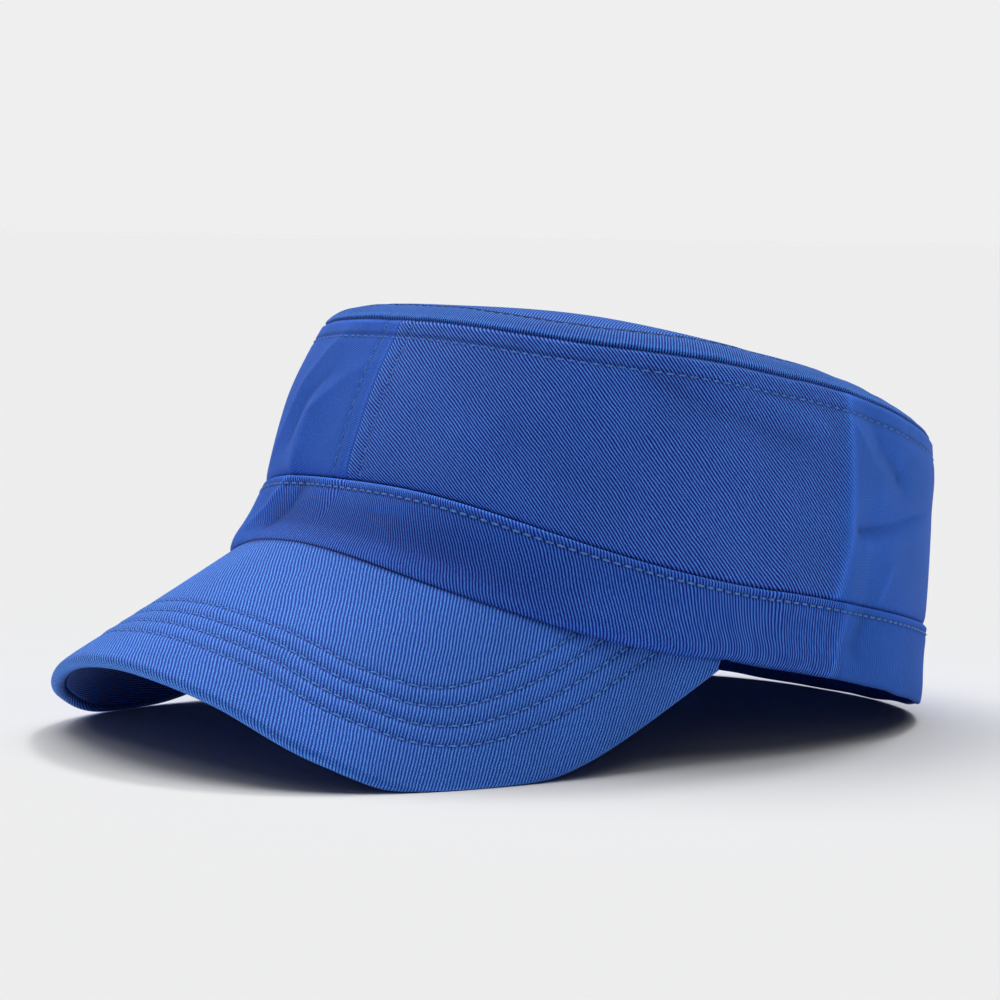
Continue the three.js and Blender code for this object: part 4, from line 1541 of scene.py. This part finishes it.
@dataclass(frozen=True)
class DyeGroup:
    """The dye that every cloth uses: dark grooves and pale ribs, brushed, rubbed and faded places, and painted
    light and shade.
    """

    middle: float = 0.45
    wear_and_light_share: float = 0.25
    wear_and_light_tone: float = 0.7
    fleck_tone: float = 0.4
    fading: tuple[float, float, float, float] = (0.3, 0.7, 0.92, 1.08)

    def build(self) -> Tree:
        """Builds the group once.

        The rib's height, spread about its middle by the contrast and the nap and moved by flecks
        and by wear with painted light and shade, runs from the groove's colour over the cloth's to the
        rib's. Where the nap is brushed it turns to the brushed colour. A tone of flecks, of wear with
        painted light and shade, and of fading scales it.

        Returns:
            The node group.
        """
        value, colour = Socket.VALUE, Socket.COLOUR
        values = ("Rib", "Fleck", "Fade", "Nap", "Wear_and_painted_light", "Contrast", "Flecks")
        colours = ("Groove", "Cloth", "Pale Rib", "Brushed")
        inputs = {name: value for name in values} | {name: colour for name in colours}
        nodes, given = new_group("twill dye", inputs, {"Colour": colour})
        math_node = nodes.math
        clear = math_node("MULTIPLY", given["Nap"], given["Contrast"])
        height = math_node("SUBTRACT", given["Rib"], self.middle)
        share = math_node("MULTIPLY_ADD", height, clear, self.middle)
        speck = math_node("MULTIPLY", math_node("SUBTRACT", given["Fleck"], 0.5), given["Flecks"])
        # Wear and painted light move the share and the tone: paler with rubbed wear and painted highlights,
        # darker with painted shade.
        share = math_node("MULTIPLY_ADD", given["Wear_and_painted_light"], self.wear_and_light_share, math_node("ADD", share, speck))
        low = math_node("DIVIDE", share, self.middle)
        high = math_node("DIVIDE", math_node("SUBTRACT", share, self.middle), 1 - self.middle)
        ribbed = nodes.mix(high, nodes.mix(low, given["Groove"], given["Cloth"]), given["Pale Rib"])
        dyed = nodes.mix(math_node("SUBTRACT", 1.0, given["Nap"]), ribbed, given["Brushed"])
        tone = math_node("MULTIPLY_ADD", given["Wear_and_painted_light"], self.wear_and_light_tone, 1.0)
        tone = math_node("MULTIPLY_ADD", speck, self.fleck_tone, tone)
        tone = math_node("MULTIPLY", tone, nodes.span(given["Fade"], *self.fading))
        nodes.add("NodeGroupOutput", {"Colour": nodes.scale(dyed, tone)})
        return nodes.tree


@dataclass(frozen=True)
class YarnGroup:
    """The spun yarn that every thread uses: its colour, darker and lighter by a fine noise."""

    fineness: float = 1400.0
    detail: float = 2.0
    tones: tuple[float, float, float, float] = (0.35, 0.65, 0.7, 1.25)

    def build(self) -> Tree:
        """Builds the group once, on places in metres.

        Returns:
            The node group.
        """
        inputs = {"Place": Socket.PLACE, "Dye": Socket.COLOUR}
        nodes, given = new_group("spun yarn", inputs, {"Colour": Socket.COLOUR, "Height": Socket.VALUE})
        height = nodes.noise(given["Place"], self.fineness, self.detail)
        colour = nodes.scale(given["Dye"], nodes.span(height, *self.tones))
        nodes.add("NodeGroupOutput", {"Colour": colour, "Height": height})
        return nodes.tree


@dataclass
class Effects:
    """The shader node groups that the finishes share."""

    weave: Tree
    dye: Tree
    yarn: Tree


@dataclass(frozen=True)
class Finish:
    """What every finish has: a name and a record's material slot."""

    name: str
    slot: str

    def surface(self, nodes: Nodes, effects: Effects) -> dict:
        """Adds the finish's own nodes, and gives the values of the shader's sockets."""
        raise NotImplementedError

    def material(self, effects: Effects) -> bpy.types.Material:
        """Builds the material round the shared groups.

        Args:
            effects: The shared groups.

        Returns:
            The finished material.
        """
        material = bpy.data.materials.new(self.name)
        material.use_nodes = True
        nodes = Nodes(material.node_tree)
        shader = nodes.add("ShaderNodeBsdfPrincipled", self.surface(nodes, effects))
        nodes.add("ShaderNodeOutputMaterial", {0: shader.outputs[0]})
        return material


@dataclass(frozen=True)
class TwillFinish(Finish):
    """A dyed twill: its rib, groove and pale colours, its rib direction and how strongly it shows."""

    rib_angle: float
    rib_step: float = 0.8
    contrast: float = 1.0
    knots: float = 0.3
    wander: float = 0.2
    relief: float = 0.16
    fleck: float = 0.35
    roughness: float = 0.82
    specular: float = 0.25
    sheen: float = 0.12
    sheen_roughness: float = 0.5
    sheen_tint: Colour = (0.6, 0.8, 1.0)
    groove: Colour = (0.0004, 0.010, 0.29)
    cloth: Colour = (0.018, 0.104, 0.73)
    rib: Colour = (0.12, 0.38, 0.99)
    brushed: Colour = (0.030, 0.165, 0.72)

    def surface(self, nodes: Nodes, effects: Effects) -> dict:
        """Weaves and dyes the cloth on its own UV map, with the wear, painted light and shade, and nap of its
        piece.

        Args:
            nodes: The material's nodes.
            effects: The shared groups.

        Returns:
            The values of the shader's sockets.
        """
        woven = {
            "Cloth": nodes.add("ShaderNodeUVMap", uv_map="cloth").outputs[0],
            "Rib Angle": self.rib_angle * DEGREE,
            "Rib Step": self.rib_step,
            "Wander": self.wander,
            "Knots": self.knots,
        }
        twill = nodes.group(effects.weave, woven)
        dyed = {"Contrast": self.contrast, "Flecks": self.fleck * 2}
        for name in ("Rib", "Fleck", "Fade"):
            dyed[name] = twill[name]
        for name in ("Nap", "Wear_and_painted_light"):
            dyed[name] = nodes.add("ShaderNodeAttribute", attribute_name=name.lower()).outputs["Fac"]
        colours = (self.groove, self.cloth, self.rib, self.brushed)
        for name, colour in zip(("Groove", "Cloth", "Pale Rib", "Brushed"), colours):
            dyed[name] = (*colour, 1)
        bump = {"Strength": 1.0, "Distance": self.relief * MM, "Height": twill["Height"]}
        return {
            "Base Color": nodes.group(effects.dye, dyed)["Colour"],
            "Roughness": self.roughness,
            "Specular IOR Level": self.specular,
            "Sheen Weight": self.sheen,
            "Sheen Roughness": self.sheen_roughness,
            "Sheen Tint": (*self.sheen_tint, 1),
            "Normal": nodes.add("ShaderNodeBump", bump).outputs[0],
        }


@dataclass(frozen=True)
class ThreadFinish(Finish):
    """A spun sewing thread, a little paler than the cloth."""

    colour: Colour
    relief: float = 0.08
    roughness: float = 0.7

    def surface(self, nodes: Nodes, effects: Effects) -> dict:
        """Spins the thread on Object coordinates.

        Args:
            nodes: The material's nodes.
            effects: The shared groups.

        Returns:
            The values of the shader's sockets.
        """
        place = nodes.add("ShaderNodeTexCoord").outputs["Object"]
        yarn = nodes.group(effects.yarn, {"Place": place, "Dye": (*self.colour, 1)})
        bump = {"Strength": 1.0, "Distance": self.relief * MM, "Height": yarn["Height"]}
        normal = nodes.add("ShaderNodeBump", bump).outputs[0]
        return {"Base Color": yarn["Colour"], "Roughness": self.roughness, "Normal": normal}


class Sewing:
    """Dresses finished pieces: material, body and the solid that each one stands for."""

    def __init__(self) -> None:
        """Builds the groups that the finishes share."""
        self.effects = Effects(TwillGroup().build(), DyeGroup().build(), YarnGroup().build())
        self.made: dict[Finish, bpy.types.Material] = {}

    def material(self, finish: Finish) -> bpy.types.Material:
        """A finish's material, which is built the first time that it is asked for.

        Args:
            finish: The finish.

        Returns:
            Its material.
        """
        if finish not in self.made:
            self.made[finish] = finish.material(self.effects)
        return self.made[finish]

    def dress(self, piece: Piece, material: bpy.types.Material, slot: str, node: str = "") -> None:
        """Gives a piece its finish and its place in the frame.

        Args:
            piece: The object.
            material: Its finish.
            slot: The record's material slot; not used.
            node: The solid that it replaces, or nothing.
        """
        piece.data.materials.clear()
        piece.data.materials.append(material)
        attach(piece, "root")
        if node:
            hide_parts(node)


@dataclass(frozen=True)
class Camera:
    """The photographer's camera, placed round the upright cap and leaned with it."""

    azimuth: float = 51.33 * DEGREE
    elevation: float = 1.044 * DEGREE
    roll: float = 5.844 * DEGREE
    distance: float = 878.22
    target: tuple[float, float, float] = (0.0, -20.0, 25.96)
    focal_pixels: float = 3190.2
    target_pixel: tuple[float, float] = (534.4, 508.57)
    picture: float = 1000.0

    def build(self, form: CapForm) -> Piece:
        """Places the camera so that the target falls on its pixel.

        The view is turned by the angles that bring the picture's middle to the axis, so the
        camera needs no shift.

        Args:
            form: The cap, which leans the camera with it.

        Returns:
            The scene's camera.
        """
        a, e, r = self.azimuth, self.elevation, self.roll
        back = np.array([math.sin(a) * math.cos(e), -math.cos(a) * math.cos(e), math.sin(e)])
        right = np.array([math.cos(a), math.sin(a), 0.0])
        up = np.cross(back, right)
        right, up = right * math.cos(r) + up * math.sin(r), up * math.cos(r) - right * math.sin(r)
        place = np.array(self.target) + self.distance * back
        middle = self.picture / 2
        aside = (middle - self.target_pixel[0]) / self.focal_pixels
        above = (self.target_pixel[1] - middle) / self.focal_pixels
        back = back - right * aside - up * above
        back /= np.linalg.norm(back)
        right = np.cross(up, back)
        right /= np.linalg.norm(right)
        up = np.cross(back, right)
        sin, cos = math.sin(form.lean), math.cos(form.lean)
        turn = np.array([[1, 0, 0], [0, cos, sin], [0, -sin, cos]])
        place = turn @ place - np.array([0, form.middle_y, form.floor_z])
        matrix = Matrix.Identity(4)
        for column, vector in enumerate((right, up, back)):
            matrix.col[column][:3] = Vector(turn @ vector)
        matrix.translation = Vector(place * MM)
        data = bpy.data.cameras.new("camera")
        data.sensor_width = 36
        data.lens = self.focal_pixels / self.picture * data.sensor_width
        camera = bpy.data.objects.new("camera", data)
        bpy.context.scene.collection.objects.link(camera)
        camera.matrix_world = matrix
        bpy.context.scene.camera = camera
        return camera


@dataclass(frozen=True)
class Lamp:
    """A soft lamp far away: where it stands, how strong it is and how wide it looks."""

    name: str
    azimuth: float
    elevation: float
    strength: float
    width: float
    colour: Colour = (1.0, 1.0, 1.0)

    def build(self) -> Piece:
        """Adds the lamp, shining towards the cap.

        Returns:
            The lamp.
        """
        data = bpy.data.lights.new(self.name, "SUN")
        data.energy, data.angle, data.color = self.strength, self.width * DEGREE, self.colour
        lamp = bpy.data.objects.new(self.name, data)
        a, e = self.azimuth * DEGREE, self.elevation * DEGREE
        back = Vector((math.sin(a) * math.cos(e), -math.cos(a) * math.cos(e), math.sin(e)))
        lamp.rotation_euler = back.to_track_quat("Z", "Y").to_euler()
        bpy.context.scene.collection.objects.link(lamp)
        return lamp


@dataclass(frozen=True)
class Studio:
    """A pale floor that runs into a pale backdrop, with soft lamps."""

    backdrop: float = 0.863
    sky: float = 0.035
    sky_colour: Colour = (0.95, 0.97, 1.0)
    floor_tone: float = 0.744
    floor_half: float = 60.0
    floor_drop: float = 0.0001
    lamps: tuple[Lamp, ...] = (
        Lamp("key lamp", 206.0, 58.0, 0.75, 10.0),
        Lamp("top lamp", 240.0, 75.0, 1.90, 56.0),
        Lamp("left lamp", 292.0, 52.0, 0.80, 46.0),
        Lamp("front lamp", 52.0, 22.0, 0.14, 50.0),
        Lamp("rear lamp", 140.0, 60.0, 0.38, 30.0),
    )

    def build(self) -> None:
        """Builds the floor, the backdrop's tone and the lamps."""
        scene = bpy.context.scene
        scene.view_settings.view_transform = "Standard"
        world = bpy.data.worlds.new("studio")
        scene.world = world
        world.use_nodes = True
        nodes = Nodes(world.node_tree)
        seen = nodes.add("ShaderNodeLightPath").outputs["Is Camera Ray"]
        backdrop = (*([self.backdrop] * 3), 1)
        shown = nodes.add("ShaderNodeBackground", {"Color": backdrop, "Strength": 1.0}).outputs[0]
        light = nodes.add("ShaderNodeBackground", {"Color": (*self.sky_colour, 1), "Strength": self.sky})
        both = nodes.add("ShaderNodeMixShader", {0: seen, 1: light.outputs[0], 2: shown}).outputs[0]
        nodes.add("ShaderNodeOutputWorld", {0: both})
        for lamp in self.lamps:
            lamp.build()
        corners = np.array([[-1, -1, 0], [1, -1, 0], [1, 1, 0], [-1, 1, 0]]) * self.floor_half
        floor = build_mesh("floor", corners - np.array([0, 0, self.floor_drop]), [[0, 1, 2, 3]])
        material = bpy.data.materials.new("studio paper")
        material.use_nodes = True
        paper = Nodes(material.node_tree)
        tone = (*([self.floor_tone] * 3), 1)
        matt = {"Base Color": tone, "Roughness": 1.0, "Specular IOR Level": 0.0}
        shader = paper.add("ShaderNodeBsdfPrincipled", matt)
        paper.add("ShaderNodeOutputMaterial", {0: shader.outputs[0]})
        floor.data.materials.append(material)


CROWN_FOLDS = (
    Fold(((-12.8, 0.893), (-16, 0.786), (-20, 0.616), (-22, 0.415), (-26, 0.17)), 3.2, 1.6, 0.6, (0.6, 0.5)),
    Fold(((-12, 0.635), (-16.8, 0.484), (-18.8, 0.233)), 4.0, -1.3, 1.5),
    Fold(
        ((-0.8, 0.723), (-5.6, 0.635), (-8.8, 0.541), (-13.2, 0.396), (-14, 0.226), (-13.6, 0.069)),
        3.0,
        1.5,
        0.6,
        (0.2, 0.8),
    ),
    Fold(((98.8, 1.0), (98.4, 0.82), (98.8, 0.585), (100, 0.352), (98.8, 0.151), (98.4, 0)), 5.0, 1.8, 0.3),
    Fold(((103, 0.93), (107, 0.8), (114, 0.69)), 4.5, -2.4, 0.8, (0.5, 1.0)),
    Fold(((100, 0.86), (104, 0.72), (110, 0.645)), 3.0, 1.0, 0.5, (1.0, 0.3)),
    Fold(((108, 0.58), (116, 0.6), (128, 0.62)), 6.0, 0.9, 2.5, (1.0, 0.0)),
    Fold(((102.8, 0.36), (112, 0.435), (124, 0.545), (136, 0.62)), 5.0, -4.4, 0.3, (0.9, 0.15)),
    Fold(((104, 0.30), (113, 0.36), (126, 0.48)), 5.0, 2.2, 2.0, (1.0, 0.2)),
    Fold(((112, 0.2), (110, 0.05)), 3.0, 0.8, 0.5),
    Fold(((-104, 0.04), (-104, 0.96)), 6.0, 1.3, 2.0),
    Fold(((-112, 0.7), (-130, 0.4)), 7.0, -2.0, 1.5),
    Fold(((60, 0.88), (76, 0.78), (90, 0.72)), 6.0, -0.9, 1.5),
    Fold(((70, 0.96), (84, 0.9), (94, 0.8)), 4.0, 0.8, 1.5),
    Fold(((160, 0.75), (172, 0.3)), 6.0, 0.8, 2.0),
    Fold(((-150, 0.3), (-168, 0.6)), 6.0, -0.9, 2.0),
)
BAND_FOLDS = (
    Fold(((-12, 0.99), (-13.2, 0.85), (-16, 0.57), (-19.6, 0.35)), 3.2, 1.4, 0.5),
    Fold(((-7, 0.85), (-9, 0.45), (-13, 0.2)), 4.0, -1.2, 1.0),
    Fold(((101, 0.95), (98.5, 0.4), (97, 0.0)), 4.0, 1.0, 0.4),
    Fold(((106, 0.9), (103, 0.45)), 4.5, -1.2, 1.5),
)

LEFT_TWILL = TwillFinish(
    "left panel twill",
    "crown_twill",
    134.5,
    0.80,
    1.85,
    groove=(0.0003, 0.008, 0.29),
    cloth=(0.016, 0.094, 0.74),
    rib=(0.115, 0.37, 1.0),
)
RIGHT_TWILL = TwillFinish("right panel twill", "crown_twill", 40.0, 0.77, 0.8, fleck=0.3)
BAND_TWILL = TwillFinish("band twill", "band_twill", 114.0, 0.82, 1.1, sheen=0.05, cloth=(0.012, 0.100, 0.73))
# A darker copy of the same cloth: painted shade that darkens the top.
SHADED_TOP_TWILL = TwillFinish(
    "shaded top twill",
    "crown_twill",
    135.0,
    0.8,
    1.5,
    cloth=(0.010, 0.088, 0.57),
    rib=(0.08, 0.335, 0.87),
)
# A paler copy of the same cloth: painted light that brightens the peak.
LIT_PEAK_TWILL = TwillFinish(
    "lit peak twill",
    "peak_twill",
    51.0,
    0.865,
    1.05,
    0.35,
    groove=(0.001, 0.024, 0.40),
    cloth=(0.026, 0.158, 0.82),
    rib=(0.18, 0.50, 0.96),
)
UNDER_TWILL = TwillFinish("underside twill", "underside_twill", 51.0, 0.865)
BAND_THREAD = ThreadFinish("band thread", "band_twill", (0.11, 0.28, 0.72))
CROWN_THREAD = ThreadFinish("crown thread", "crown_twill", (0.09, 0.25, 0.70))
PEAK_THREAD = ThreadFinish("peak thread", "peak_twill", (0.10, 0.30, 0.80))


def main() -> None:
    """Builds the cap, dresses it, and sets up the studio and the camera."""
    logging.basicConfig(level=logging.INFO, format="%(name)s: %(message)s")
    form = CapForm()
    Camera().build(form)
    Studio().build()
    sewing = Sewing()
    band = Band(form, folds=BAND_FOLDS)
    crown = Crown(form, band, folds=CROWN_FOLDS)
    outfits = (
        (band, ((BAND_TWILL, "band"), (BAND_THREAD, ""))),
        (crown, ((LEFT_TWILL, "crown_left_panel"), (RIGHT_TWILL, "crown_right_panel"), (CROWN_THREAD, ""))),
        (Top(form), ((SHADED_TOP_TWILL, "crown_top"), (CROWN_THREAD, ""))),
        (Peak(form), ((LIT_PEAK_TWILL, "peak_upper"), (UNDER_TWILL, "peak_underside"), (PEAK_THREAD, ""))),
    )
    for part, outfit in outfits:
        for piece in part.dress(outfit, sewing):
            log.info("%s: %d faces", piece.name, len(piece.data.polygons))


if __name__ == "__main__":
    main()
